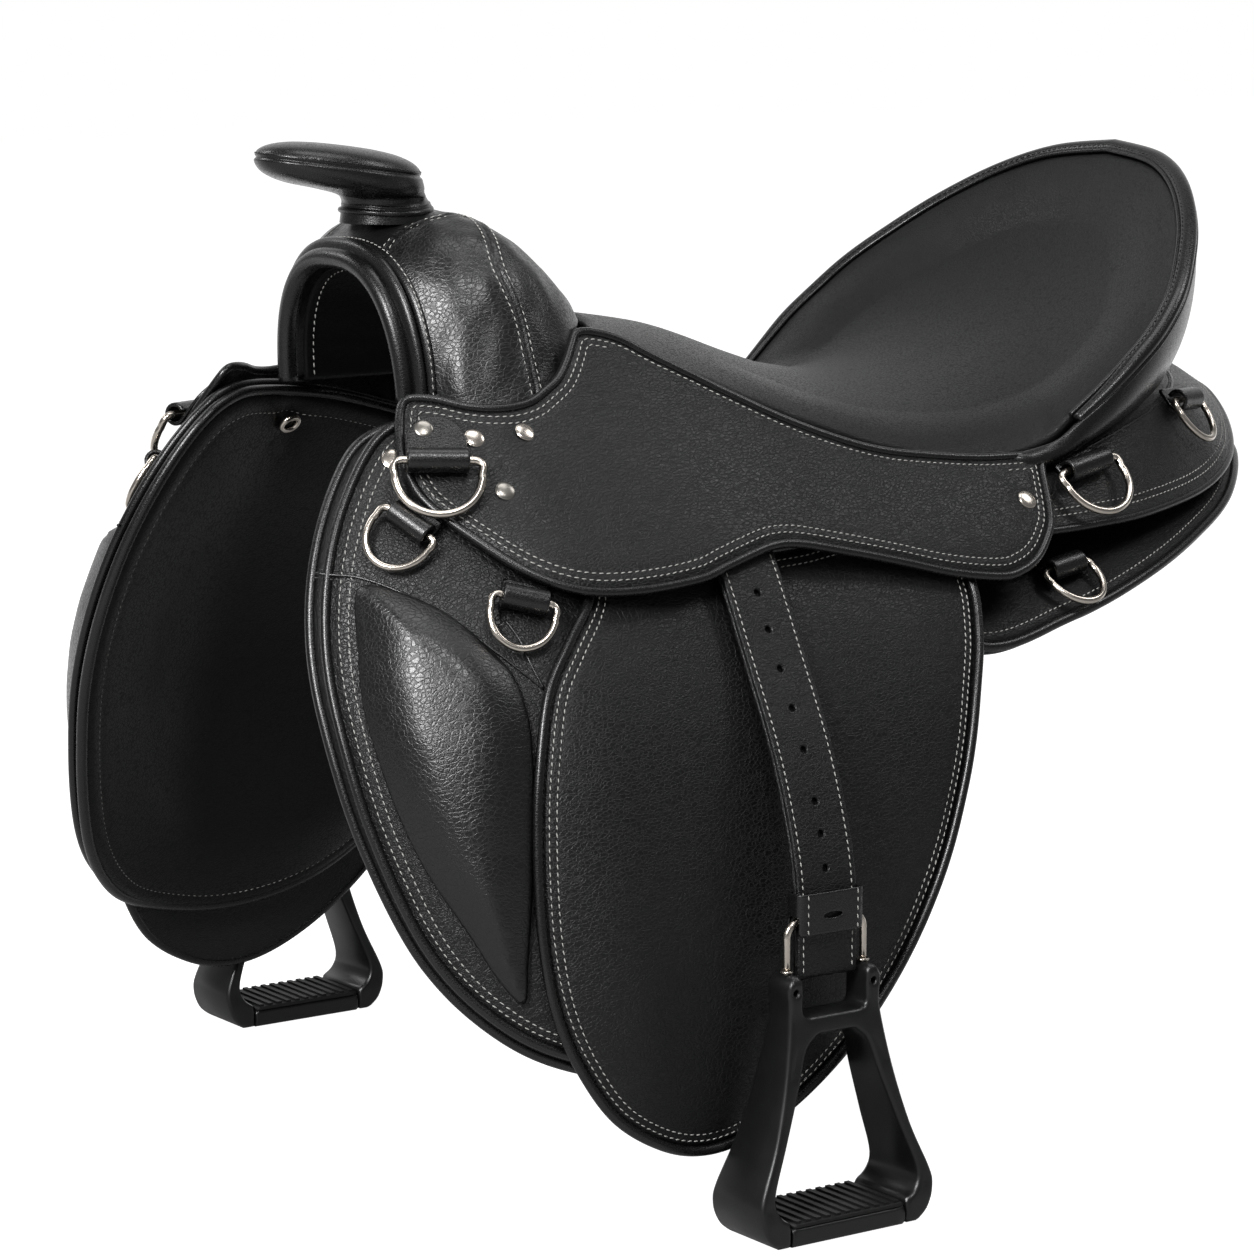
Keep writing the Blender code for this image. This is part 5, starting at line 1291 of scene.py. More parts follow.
ALONG_Y = (0, 1.0, 0)
roll_path = round_arch(7 * MM, 4 * MM, SWELL_FRONT_Y - ARCH_ROLL - 0.4 * MM)
fill_path = round_arch(14 * MM, 8.5 * MM, SWELL_FRONT_Y - 1.2 * MM)
arch_up = np.broadcast_to(ALONG_Y, roll_path.shape)
arch_roll = Shape().add(*roll(roll_path, ARCH_ROLL, sides=18, up=arch_up))
arch_roll.add(*roll(fill_path, 6.4 * MM, sides=14, flat=0.55, up=arch_up))
flange_at = np.linspace(-0.97, 0.97, 140)
flange_normal = facing_out(patch_normal(swell_patch, flange_at, np.full(140, 0.03)), flange_at, 1.0)
flange = swell_patch(flange_at, np.full(140, 0.022))
arch_roll.add(*roll(flange + flange_normal * 0.2 * MM, 2.6 * MM, sides=10, flat=0.42, up=flange_normal))
seam("centre", "white", swell_patch(flange_at, np.full(140, 0.032)) + flange_normal * 1.0 * MM, flange_normal)
make_piece("arch_roll", arch_roll, NEAR, (smooth_hide,), "saddle", ("arch_binding",))
print("arch roll points:", arch_roll.total)

# %% Horn
HORN_RINGS = [  # y, z, half length, half width, tilt in degrees
    (-0.2190, 0.1580, 0.0262, 0.0245, 0), (-0.2190, 0.1655, 0.0252, 0.0238, 0), (-0.2200, 0.1695, 0.0242, 0.0228, 2),
    (-0.2228, 0.1722, 0.0256, 0.0234, 4), (-0.2300, 0.1742, 0.0325, 0.0262, 6), (-0.2392, 0.1762, 0.0415, 0.0302, 7.5),
    (-0.2456, 0.1802, 0.0474, 0.0328, 8), (-0.2488, 0.1860, 0.0494, 0.0338, 8), (-0.2492, 0.1916, 0.0482, 0.0324, 8),
    (-0.2486, 0.1956, 0.0428, 0.0287, 8), (-0.2478, 0.1985, 0.0325, 0.0215, 8), (-0.2472, 0.1999, 0.0190, 0.0125, 8),
    (-0.2470, 0.2003, 0.0060, 0.0040, 8)]
RIM_SEAM_Z, HORN_Y, HORN_COUNT = 0.1888, -0.2195, 72
COLLARS = ((0.1652, 0.0246, 1.7), (0.1682, 0.0234, 1.1))  # height, radius, and thickness in mm
rings = dense_path(HORN_RINGS, fine=10)
around = 2 * math.pi * np.arange(HORN_COUNT) / HORN_COUNT
horn_points = []
for y, z, long, wide, tilt in rings:
    pinch = 1.3 * MM * math.exp(-((z - RIM_SEAM_Z) / (0.9 * MM))**2)
    tilt = -math.radians(tilt)
    run = (long - pinch) * np.sin(around)
    horn_points.append(stacked((wide - pinch) * np.cos(around), y + run * math.cos(tilt), z + run * math.sin(tilt)))
horn_points = np.array(horn_points)
flat_horn = horn_points.reshape(-1, 3)
axis_out = unit(flat_horn - np.repeat(np.array([(0, ring[0], ring[1]) for ring in rings]), HORN_COUNT, axis=0))
neck_fold = bell(flat_horn[:, 2] - 0.1735, 5 * MM) * 0.7 * MM * ripple(flat_horn * (1, 1, 3.5), 0.02, 61)
flat_horn = flat_horn + axis_out * (neck_fold + 0.25 * MM * ripple(flat_horn, 0.03, 62))[:, None]
horn_faces = grid_faces(len(rings), HORN_COUNT, closed=True) + two_ends(len(rings), HORN_COUNT)
horn = Shape().add(flat_horn, horn_faces)
for z, radius, size in COLLARS:
    sag = 40 * (radius * np.cos(around))**2 * 0.06
    collar = stacked(0.97 * radius * np.cos(around), HORN_Y + radius * np.sin(around), z - sag)
    horn.add(*roll(collar, size * MM, closed=True, sides=10))
make_piece("horn_leather", horn, NEAR, (smooth_hide,), "saddle", ("horn_neck", "horn_cap"))
ring_at = int(np.argmin(np.abs(rings[:, 1] - RIM_SEAM_Z - 2.4 * MM) + 9 * (np.arange(len(rings)) < len(rings) // 2)))
sewn = horn_points[ring_at]
from_middle = sewn - sewn.mean(axis=0)
seam("centre", "black", sewn + 0.1 * MM * unit(from_middle), unit(from_middle + (0, 0, 0.01)), True)
print("horn points:", horn.total)

# %% [markdown]
# ## Rear skirt and back panels
# Behind the seat one wide skirt runs round from jockey to jockey, sewn twice near its edge. A flocked panel
# lies under it on each side, with its edge rolled and its underside pressed flat where it bears on the horse.

# %% Rear skirt
skirt_inner, skirt_outer = Track(SKIRT_INNER), Track(SKIRT_OUTER)
SKIRT_THICK, SKIRT_CROWN, SKIRT_ROWS, SKIRT_COUNT = 4.5 * MM, 0.006, (6.0 * MM, 9.2 * MM), 241


def skirt_half(u, w):
    t = 1 - u
    inner, outer = skirt_inner(t), skirt_outer(t)
    points = inner + (outer - inner) * w[..., None]
    points[..., 2] += SKIRT_CROWN * np.sin(math.pi * w)
    return points


def skirt_relief(points, u, w, edge):
    waves = 0.5 * MM * ripple(points, 0.07, 71) * smooth_step(edge, 0, 12 * MM)
    return -sewn_dip(edge, SKIRT_ROWS) * (w > 0.6) + waves


skirt_patch = both_halves(skirt_half)
skirt = patch_shape(skirt_patch, np.linspace(-1, 1, SKIRT_COUNT), spread(46, 0, 1), even_thick(SKIRT_THICK), 2.1 * MM,
                    skirt_relief)
skirt_at = np.linspace(-1, 1, SKIRT_COUNT)
skirt_edge = skirt_patch(skirt_at, np.ones(SKIRT_COUNT))
skirt_up = patch_normal(skirt_patch, skirt_at, np.full(SKIRT_COUNT, 0.99))
skirt.add(*roll(skirt_edge - skirt_up * 1.6 * MM, 2.3 * MM, sides=10, up=skirt_up), slot=1)
half_at = np.linspace(1, 0, SKIRT_COUNT // 2 + 1)
across = np.linalg.norm(skirt_inner(half_at) - skirt_outer(half_at), axis=1)
across = np.concatenate([across[::-1], across[1:]])
for row in SKIRT_ROWS:
    u = np.linspace(-0.985, 0.985, SKIRT_COUNT)
    normal = facing_up(patch_normal(skirt_patch, u, 1 - row / across))
    seam("centre", "white", skirt_patch(u, 1 - row / across) - normal * 0.15 * MM, normal)
SKIRT_BAND = [(0.825, 0.075), (0.75, 0.150), (0.625, 0.163), (0.487, 0.188), (0.30, 0.23), (0.12, 0.26), (0, 0.265)]
band = even_path(SKIRT_BAND, 90)
for sign in (1, -1):
    normal = facing_up(patch_normal(skirt_patch, sign * band[:, 0], band[:, 1]))
    line = skirt_patch(sign * band[:, 0], band[:, 1])
    skirt.add(*roll(line + normal * 0.1 * MM, 0.8 * MM, sides=8, up=normal), slot=1)
    beside = skirt_patch(sign * band[:, 0], band[:, 1] - 0.04)
    seam("centre", "black", beside + normal * 0.1 * MM, normal)
make_piece("rear_skirt_leather", skirt, NEAR, (grained, smooth_hide), "saddle", ("rear_skirt",))
print("skirt points:", skirt.total)

# %% Back panels
PAD_OUTLINE = [
    (0.036, -0.100), (0.085, -0.110), (0.108, -0.070), (0.122, -0.010), (0.150, 0.012), (0.201, 0.028), (0.198, 0.101),
    (0.186, 0.168), (0.166, 0.224), (0.139, 0.273), (0.095, 0.317), (0.056, 0.332), (0.036, 0.320), (0.034, 0.200),
    (0.034, 0.050)]
PAD_TOP_Z, PAD_THICK, PAD_EDGE, PAD_REACH, PAD_ROW = 0.018, 24 * MM, 5.5 * MM, 0.035, 6.0 * MM
PAD_DROP = [(-0.12, 0.030), (0.03, 0.084), (0.116, 0.078), (0.173, 0.070), (0.225, 0.064), (0.33, 0.050)]
BEARING_PLANE, BEARING_CUT, BEARING_REACH = (0.110, 0.130), 3.5 * MM, 0.105


def pad_height(x, y):
    return PAD_TOP_Z - value_at(PAD_DROP, y) * np.maximum(0, (x - 0.034) / 0.165)**1.5


def on_pad(flat, lift):
    flat = np.asarray(flat, dtype=float)
    x, y = flat[..., 0], flat[..., 1]
    step = 1 * MM
    normal = unit(stacked(-(pad_height(x + step, y) - pad_height(x - step, y)) / (2 * step),
                          -(pad_height(x, y + step) - pad_height(x, y - step)) / (2 * step), 1))
    return stacked(x, y, pad_height(x, y)) + normal * np.asarray(lift, dtype=float)[..., None], normal


bearing_top, bearing_up = on_pad(np.array(BEARING_PLANE), 0.0)
bearing = bearing_top - bearing_up * (PAD_THICK - BEARING_CUT)


def pad_under(flat, edge):
    depth = PAD_THICK * (0.52 + 0.48 * domed(edge, PAD_REACH))
    points = on_pad(flat, -depth + round_edge(edge, PAD_EDGE))[0]
    points[:, 2] += 0.5 * MM * ripple(points, 0.05, 81) * smooth_step(edge, 4 * MM, 20 * MM)
    below = (points - bearing) @ bearing_up
    near_plane = smooth_step(BEARING_REACH - np.hypot(*(flat - BEARING_PLANE).T), 0.0, 0.02)
    return points - bearing_up * (np.minimum(below, 0) * near_plane)[:, None]


back_pad = Shape().add_sheet(leather_net(PAD_OUTLINE, (1.2 * MM, 3 * MM, PAD_EDGE, 8 * MM, 13 * MM), 7 * MM),
                             lambda flat, edge: on_pad(flat, -round_edge(edge, PAD_EDGE))[0], pad_under)
border = even_path(PAD_OUTLINE, closed=True, step=2.5 * MM)
path, normal = on_pad(border, -3.0 * MM)
back_pad.add(*roll(path, 2.8 * MM, closed=True, up=normal), slot=1)
edge_seam("white", PAD_OUTLINE, PAD_ROW, lambda flat, row: on_pad(flat, 0.15 * MM), lambda line: line[:, 0] > 0.12)
for pad in both_sides(("back_panel_leather_{}", back_pad, (soft_hide, smooth_hide), "saddle", "panel_leather",
                       "back_panel_{}")):
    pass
print("back panel points:", back_pad.total)

# %% [markdown]
# ## Stirrup leather, keeper and stirrup
# The stirrup leather is one long strap: over the steel bar, down in front, round the bail's wire, down to the
# folded tab and up again behind. Its path is drawn once in the side view and the strap is laid along it, so
# the punched holes can be cut in the flat before it is bent. The stirrup is a moulded A: a flat outline given
# a depth that grows towards the tread.

# %% Path of the strap
STRAP_Y, STRAP_LEAN, STRAP_HALF, PLY, PIVOT_Z = -0.115, 0.054, 19 * MM, 2.6 * MM, 0.016
BAR_THICK, SLOT_GAP, LOOP_STAND_OFF, SLOT_HALF_HIGH = 2.4 * MM, 2.4 * MM, 2.4 * MM, 15 * MM
BAIL_PIVOT_Z, BAIL_WIRE, BAIL_LEG, BAIL_BEND = -0.1885, 2.0 * MM, 24.8 * MM, 8 * MM
EYE_HOLE, EYE_OUTER, TAB_BELOW = 2.9 * MM, 4.9 * MM, 30 * MM


def side_spot(y, z, lift):
    return on_side(np.array([(y, z)]), np.array([lift]))[0][0]


def strap_middle(z):
    """Middle of the strap at a height: close to the jockey above, and hanging free of the fender below."""
    point = side_spot(STRAP_Y, z, FENDER_LIFT + 4.1 * MM + PLY)
    point[0] += 21 * MM * smooth_step(-z, 0.05, 0.18)
    return point


pivot = side_spot(STRAP_Y, PIVOT_Z, LOOP_STAND_OFF + PLY + SLOT_GAP + 0.5 * BAR_THICK)
pivot_out = side_normal(STRAP_Y, PIVOT_Z)
bail_pivot = np.array((strap_middle(BAIL_PIVOT_Z)[0], STRAP_Y + STRAP_LEAN * (BAIL_PIVOT_Z - PIVOT_Z), BAIL_PIVOT_Z))


def arc(centre, radius, start, end, count):
    angle = np.radians(np.linspace(start, end, count))
    return [(centre[0] + radius * math.cos(a), centre[1] + radius * math.sin(a)) for a in angle]


def strap_route():
    """Closed middle line of the strap in (x, z), from the crown of its loop down the outside."""
    down = np.array((pivot_out[2], -pivot_out[0]))
    out = np.array((pivot_out[0], pivot_out[2]))
    centre = pivot[[0, 2]]
    bend = 0.5 * BAR_THICK + SLOT_GAP + 0.5 * PLY
    crown, rear_crown = ([centre + out * bend * math.cos(a) - down * (SLOT_HALF_HIGH + bend * math.sin(a))
                          for a in np.radians(np.linspace(start, end, 9))] for start, end in ((90, 0), (180, 93)))
    half_gap = 0.5 * PLY + 0.1 * MM
    front, back = [], []
    for z in np.linspace(PIVOT_Z - 0.030, BAIL_PIVOT_Z + 0.012, 24):
        point = strap_middle(z)[[0, 2]]
        ahead_of = unit((strap_middle(z - 2 * MM) - strap_middle(z + 2 * MM))[[0, 2]])
        away = np.array((-ahead_of[1], ahead_of[0]))
        front.append(point + away * half_gap)
        back.append(point - away * half_gap)
    eye = bail_pivot[[0, 2]]
    middle = 0.5 * (EYE_HOLE + EYE_OUTER)
    tab_z = eye[1] - TAB_BELOW + half_gap
    low = centre + down * (SLOT_HALF_HIGH - 3 * MM)
    tab_out, tab_in = [(eye[0] + half_gap, z) for z in (eye[1] - 9 * MM, tab_z)], eye[0] - half_gap
    return np.array(crown + [low + out * bend] + front + arc(eye, middle, 45, -45, 7) + tab_out
                    + arc((eye[0], tab_z), half_gap, -20, -160, 6) + [(tab_in, tab_z), (tab_in, eye[1] - 9 * MM)]
                    + arc(eye, middle, 225, 135, 7) + back[::-1] + [low - out * bend] + rear_crown)


strap_line = even_path(strap_route(), step=0.8 * MM)
strap_run = run_of(strap_line)
strap_out = square_to(strap_line)
print("strap is %.3f m round" % strap_run[-1])


def on_strap(flat, lift):
    """Points and normals of the strap for (run, across) places."""
    run, across = flat[..., 0], flat[..., 1]
    x, z = (np.interp(run, strap_run, strap_line[:, k]) for k in (0, 1))
    nx, nz = (np.interp(run, strap_run, strap_out[:, k]) for k in (0, 1))
    normal = unit(stacked(nx, 0, nz))
    y = STRAP_Y + across + STRAP_LEAN * (np.maximum(z, BAIL_PIVOT_Z) - PIVOT_Z)
    return stacked(x, y, z) + normal * np.asarray(lift, dtype=float)[..., None], normal


front_side = (strap_run > 0.02) & (strap_run < strap_run[int(np.argmin(strap_line[:, 1]))])


def run_at(z):
    """Run along the strap's outer side at a height."""
    index = np.flatnonzero(front_side)
    return float(np.interp(-z, -strap_line[index, 1], strap_run[index]))


# %% Strap with its punched holes
HOLE_HEIGHTS = (-0.029, -0.047, -0.066, -0.085, -0.105, -0.130, -0.146, -0.163)
HOLE_RADIUS, STRAP_HALF_THICK, STRAP_ROW = 1.9 * MM, 1.2 * MM, 3.2 * MM
strap_holes = [np.array(arc((run_at(z), 0), HOLE_RADIUS, 0, 337.5, 16)) for z in HOLE_HEIGHTS]
strap_end = strap_run[-1]
strap_outline = [(0, -STRAP_HALF), (strap_end, -STRAP_HALF), (strap_end, STRAP_HALF), (0, STRAP_HALF)]
strap_net = leather_net(strap_outline, (0.35 * MM, 0.8 * MM, 1.3 * MM, 3.0 * MM, 4.2 * MM), 4 * MM, step=2.2 * MM,
                        holes=strap_holes, smooth=False)


def strap_face(side_of):
    def face(flat, edge):
        dip = sewn_dip(edge, (STRAP_ROW,), 0.15 * MM)
        return on_strap(flat, side_of * (STRAP_HALF_THICK - round_edge(edge, 1.1 * MM)) - side_of * dip)[0]
    return face


strap = Shape().add_sheet(strap_net, strap_face(1), strap_face(-1))
strap_side = 1.0 if on_strap(np.array([[run_at(-0.1), 0.0]]), np.array([1.0]))[1][0][0] > 0 else -1.0
for across in (-STRAP_HALF + STRAP_ROW, STRAP_HALF - STRAP_ROW):
    run = np.arange(run_at(0.0), run_at(BAIL_PIVOT_Z - TAB_BELOW + 4 * MM), 2 * MM)
    points, normal = on_strap(np.stack([run, np.full(len(run), across)], axis=1),
                              strap_side * (STRAP_HALF_THICK + 0.02 * MM))
    seam("strap", "white", points, normal * strap_side)
both_sides(("strap_{}", strap, (grained,), "stirrup_leather_{}", "black_leather", "stirrup_leather_{}"))
print("strap points:", strap.total)

# %% Keeper
KEEPER_HALF_HIGH, KEEPER_WALL, KEEPER_BEND, KEEPER_ROW = 11 * MM, 1.5 * MM, 2 * MM, 16 * MM
keeper_x, keeper_y = EYE_OUTER + 0.4 * MM + 0.5 * KEEPER_WALL, STRAP_HALF + 0.6 * MM + 0.5 * KEEPER_WALL
keeper_line = [(-keeper_x, 0), (-keeper_x, -keeper_y + KEEPER_BEND), (-keeper_x + KEEPER_BEND, -keeper_y),
               (0, -keeper_y), (keeper_x - KEEPER_BEND, -keeper_y), (keeper_x, -keeper_y + KEEPER_BEND),
               (keeper_x + 0.5 * MM, 0), (keeper_x, keeper_y - KEEPER_BEND), (keeper_x - KEEPER_BEND, keeper_y),
               (0, keeper_y), (-keeper_x + KEEPER_BEND, keeper_y), (-keeper_x, keeper_y - KEEPER_BEND), (-keeper_x, 0)]
keeper_route = even_path(keeper_line, 200, smooth=False)
keeper_run = run_of(keeper_route)
keeper_away = -square_to(keeper_route)
keeper_centre = bail_pivot + (0, 0, 0.4 * KEEPER_HALF_HIGH)
near_side_run = []
for end in (-1, 1):
    nearest = int(np.argmin(np.hypot(*(keeper_route - (0, end * keeper_y)).T)))
    near_side_run.append(float(keeper_run[nearest]))
face_run = 0.5 * keeper_run[-1]
NOTCH_TOP = -0.4 * KEEPER_HALF_HIGH + BAIL_WIRE + 0.7 * MM


def on_keeper(flat, lift):
    run, high = flat[..., 0], flat[..., 1]
    (x, y), (nx, ny) = at_run(keeper_run, keeper_route, run), at_run(keeper_run, keeper_away, run)
    normal = unit(stacked(nx, ny, 0))
    return keeper_centre + stacked(x, y, high) + normal * np.asarray(lift, dtype=float)[..., None], normal


def keeper_face(side_of):
    return lambda flat, edge: on_keeper(flat, side_of * (0.5 * KEEPER_WALL - round_edge(edge, 0.7 * MM)))[0]


foot, top, notch = -KEEPER_HALF_HIGH, KEEPER_HALF_HIGH, 4 * MM
keeper_outline = [(0, foot)]
for middle in near_side_run:
    keeper_outline += [(middle - notch, foot), (middle - notch, NOTCH_TOP), (middle + notch, NOTCH_TOP),
                       (middle + notch, foot)]
keeper_outline += [(keeper_run[-1], foot), (keeper_run[-1], top), (0, top)]
slit = np.array([(face_run + 6 * MM * math.cos(a), -1.5 * MM + 1.5 * MM * math.sin(a))
                 for a in np.radians(np.arange(0, 360, 15))])
keeper_net = leather_net(keeper_outline, (0.35 * MM, 0.75 * MM, 1.6 * MM), 2.5 * MM, step=1.6 * MM, holes=(slit,),
                         smooth=False)
keeper = Shape().add_sheet(keeper_net, keeper_face(1), keeper_face(-1))
for offset in (-KEEPER_ROW, KEEPER_ROW):
    high = np.arange(foot + 2 * MM, top - 1.5 * MM, 1 * MM)
    points, normal = on_keeper(stacked(face_run + offset, high), 0.8 * MM)
    seam("strap", "white", points, normal)
both_sides(("keeper_band_{}", keeper, (smooth_hide,), "stirrup_leather_{}", "black_leather", "keeper_{}"))
print("keeper points:", keeper.total)

# %% Bail
EAR_TOP, SOCKET_DEPTH = -26 * MM, 13 * MM
foot = EAR_TOP - SOCKET_DEPTH + 1 * MM
inner_leg = BAIL_LEG - BAIL_BEND
bail_line = ([(-BAIL_LEG, foot), (-BAIL_LEG, -BAIL_BEND)] + arc((-inner_leg, -BAIL_BEND), BAIL_BEND, 170, 100, 8)
             + [(-inner_leg, 0), (inner_leg, 0)] + arc((inner_leg, -BAIL_BEND), BAIL_BEND, 80, 10, 8)
             + [(BAIL_LEG, -BAIL_BEND), (BAIL_LEG, foot)])
bail_path = np.array([bail_pivot + (0, y, z) for y, z in bail_line])
bail = Shape().add(*roll(bail_path, BAIL_WIRE, sides=16, up=np.broadcast_to((1.0, 0, 0), bail_path.shape)))
collar_ring = stacked(2.7 * MM * np.cos(around[::3]), 2.7 * MM * np.sin(around[::3]), 0)
for end in (-1, 1):
    collar = bail_pivot + (0, end * BAIL_LEG, EAR_TOP + 0.7 * MM) + collar_ring
    bail.add(*roll(collar, 0.8 * MM, closed=True, sides=8))
both_sides(("bail_wire_{}", bail, (nickel,), "stirrup_{}", "nickel", "stirrup_bail_{}"))
print("bail points:", bail.total)

# %% Stirrup frame
NOTCH_FLOOR, CROSSBAR_UNDER, TREAD_TOP, STIRRUP_FOOT = -48.5 * MM, -58.5 * MM, -152 * MM, -165 * MM
EAR_HALF, NOTCH_HALF, FOOT_HALF, TREAD_HALF = 30 * MM, 20.5 * MM, 56 * MM, 37 * MM
DEPTH_AT_EAR, DEPTH_AT_TREAD = 20 * MM, 47 * MM
arm_out = even_path([(EAR_HALF, EAR_TOP - 9 * MM), (EAR_HALF - 0.5 * MM, NOTCH_FLOOR), (EAR_HALF + 5 * MM, -80 * MM),
                     (EAR_HALF + 14 * MM, -112 * MM), (FOOT_HALF - 1 * MM, -138 * MM), (FOOT_HALF, -148 * MM),
                     (FOOT_HALF - 4 * MM, -159 * MM), (TREAD_HALF + 8 * MM, STIRRUP_FOOT)], 48)
arm_in = even_path([(TREAD_HALF + 0.4 * MM, TREAD_TOP), (TREAD_HALF + 7 * MM, -147 * MM),
                    (TREAD_HALF + 9 * MM, -137 * MM), (EAR_HALF + 6.5 * MM, -112 * MM), (EAR_HALF - 4 * MM, -84 * MM),
                    (EAR_HALF - 10 * MM, -66 * MM), (EAR_HALF - 17 * MM, CROSSBAR_UNDER - 1 * MM)], 40)
ear = even_path([(NOTCH_HALF, EAR_TOP - 4 * MM), (NOTCH_HALF + 1.5 * MM, EAR_TOP - 1 * MM),
                 (NOTCH_HALF + 4.5 * MM, EAR_TOP), (EAR_HALF - 3 * MM, EAR_TOP - 1.4 * MM),
                 (EAR_HALF - 0.4 * MM, EAR_TOP - 5 * MM), (EAR_HALF, EAR_TOP - 9 * MM)], 12)
notch = even_path([(0, NOTCH_FLOOR), (NOTCH_HALF - 4 * MM, NOTCH_FLOOR), (NOTCH_HALF - 1 * MM, NOTCH_FLOOR + 1 * MM),
                   (NOTCH_HALF, NOTCH_FLOOR + 4 * MM), (NOTCH_HALF, EAR_TOP - 4 * MM)], 24)
half_frame = (notch[1:].tolist() + ear[1:].tolist() + arm_out[1:].tolist() + [(TREAD_HALF + 0.4 * MM, STIRRUP_FOOT)]
              + arm_in.tolist() + [(0.4 * EAR_HALF, CROSSBAR_UNDER)])
frame_outline = half_frame + [(-a, b) for a, b in half_frame[::-1]]


def frame_depth(b):
    share = np.clip((NOTCH_FLOOR - b) / (NOTCH_FLOOR - TREAD_TOP), 0, 1)
    return 0.5 * (DEPTH_AT_EAR + (DEPTH_AT_TREAD - DEPTH_AT_EAR) * share)


def slab(shape, outline, half_depth, radius, grid, relief=no_relief, holes=(), slot=0):
    """Thick moulding at the stirrup: two faces with rounded edges and a wall between them."""
    flat, faces, edge = leather_net(outline, (0.3 * radius, 0.7 * radius, radius, radius + 2.5 * MM), grid,
                                    step=2.5 * MM, smooth=False, holes=holes)
    depth = half_depth(flat[:, 1]) - round_edge(edge, radius) + relief(flat, edge)
    total, start, walls = len(flat), 0, []
    for loop in (even_path(outline, closed=True, step=2.5 * MM, smooth=False), *holes):
        for k in range(len(loop)):
            one, two = start + k, start + (k + 1) % len(loop)
            walls.append((one, two, total + two, total + one))
        start += len(loop)
    turned = [tuple(total + corner for corner in face[::-1]) for face in faces]
    return shape.add(np.concatenate([at_stirrup(flat, depth), at_stirrup(flat, -depth)]), list(faces) + turned + walls,
                     slot, np.concatenate([edge, edge]))


def at_stirrup(flat, depth):
    return bail_pivot + stacked(depth, flat[:, 0], flat[:, 1])


def frame_relief(flat, edge):
    arm = smooth_step(-flat[:, 1], 0.060, 0.075) * smooth_step(flat[:, 1], -0.150, -0.138)
    return -1.0 * MM * smooth_step(edge, 3.0 * MM, 4.4 * MM) * arm


pin_holes = [np.array(arc((end * 25.2 * MM, EAR_TOP - 9 * MM), 1.3 * MM, 0, 330, 12)) for end in (-1, 1)]
frame_shape = slab(Shape(), frame_outline, frame_depth, 2.6 * MM, 4 * MM, frame_relief, pin_holes)
both_sides(("stirrup_body_{}", frame_shape, (moulded,), "stirrup_{}", "moulded_black", "stirrup_frame_{}"))
print("stirrup frame points:", frame_shape.total)

# %% Tread with a ribbed rubber pad
PAD_LOW, PAD_HIGH, PAD_HALF = TREAD_TOP - 3.2 * MM, TREAD_TOP - 0.9 * MM, TREAD_HALF - 1 * MM


def box_outline(half, low, high):
    return [(-half, low), (half, low), (half, high), (-half, high)]


tread = slab(Shape(), box_outline(TREAD_HALF, STIRRUP_FOOT, PAD_LOW), lambda b: 0.5 * DEPTH_AT_TREAD,
             1.6 * MM, 4 * MM)
slab(tread, box_outline(PAD_HALF, PAD_LOW + 0.05 * MM, PAD_HIGH),
     lambda b: 0.5 * DEPTH_AT_TREAD - 0.4 * MM, 0.6 * MM, 3 * MM, slot=1)
both_sides(("tread_base_{}", tread, (moulded, rubber), "stirrup_{}", "moulded_black", "stirrup_tread_{}"))
print("tread points:", tread.total)


# %% Ribs of the tread, set out by a node tree
def rib_tree():
    tree, start, end, names = new_tree("tread_ribs", "Base", "Ribs", (
        ("first", "First rib", "Vector", None), ("last", "Last rib", "Vector", None), ("count", "Ribs", "Int", 11),
        ("size", "Rib size", "Vector", None), ("stuff", "Rubber", "Material", None)))
    line = node(tree, "GeometryNodeMeshLine", mode="END_POINTS")
    rib = node(tree, "GeometryNodeMeshCube", {"Vertices X": 2, "Vertices Y": 3, "Vertices Z": 3})
    placed = tree.nodes.new("GeometryNodeInstanceOnPoints")
    wire(tree, (start.outputs["Ribs"], line.inputs["Count"]),
         (start.outputs["First rib"], line.inputs["Start Location"]),
         (start.outputs["Last rib"], line.inputs["Offset"]), (line.outputs[0], placed.inputs["Points"]),
         (start.outputs["Rib size"], rib.inputs["Size"]), (rib.outputs[0], placed.inputs["Instance"]))
    end_tree(tree, placed, start.outputs["Rubber"], end, smooth=False)
    return tree, names


RIB_SIZE, RIB_MARGIN = (DEPTH_AT_TREAD - 4 * MM, 3.0 * MM, 1.6 * MM), 5 * MM
rib_rows, rib_inputs = rib_tree()
for side, label in SIDES:
    centre = bail_pivot * (side, 1, 1) + (0, 0, TREAD_TOP - 0.5 * MM)
    reach = (0, TREAD_HALF - RIB_MARGIN, 0)
    holder = grown_by(in_scene("rib_holder", bpy.data.meshes.new("rib_holder")), rib_rows, {
        rib_inputs["first"]: tuple(centre - reach), rib_inputs["last"]: tuple(centre + reach),
        rib_inputs["size"]: RIB_SIZE, rib_inputs["stuff"]: rubber})
    evaluated_piece("tread_ribs_" + label, holder, "stirrup_" + label)
print("ribs set out on both treads")

# %% [markdown]
# ## Rings, rolls and rivets
# Each D ring is bent wire in a leather roll sewn on the saddle: the leather passes behind the ring's straight
# bar, under it and over the front. The ring's place, bar and outward direction come from the surface that it
# lies on. Rivets are the second job for a node tree: a flat dome is set on each point of a list, turned to the
# direction that the point carries.

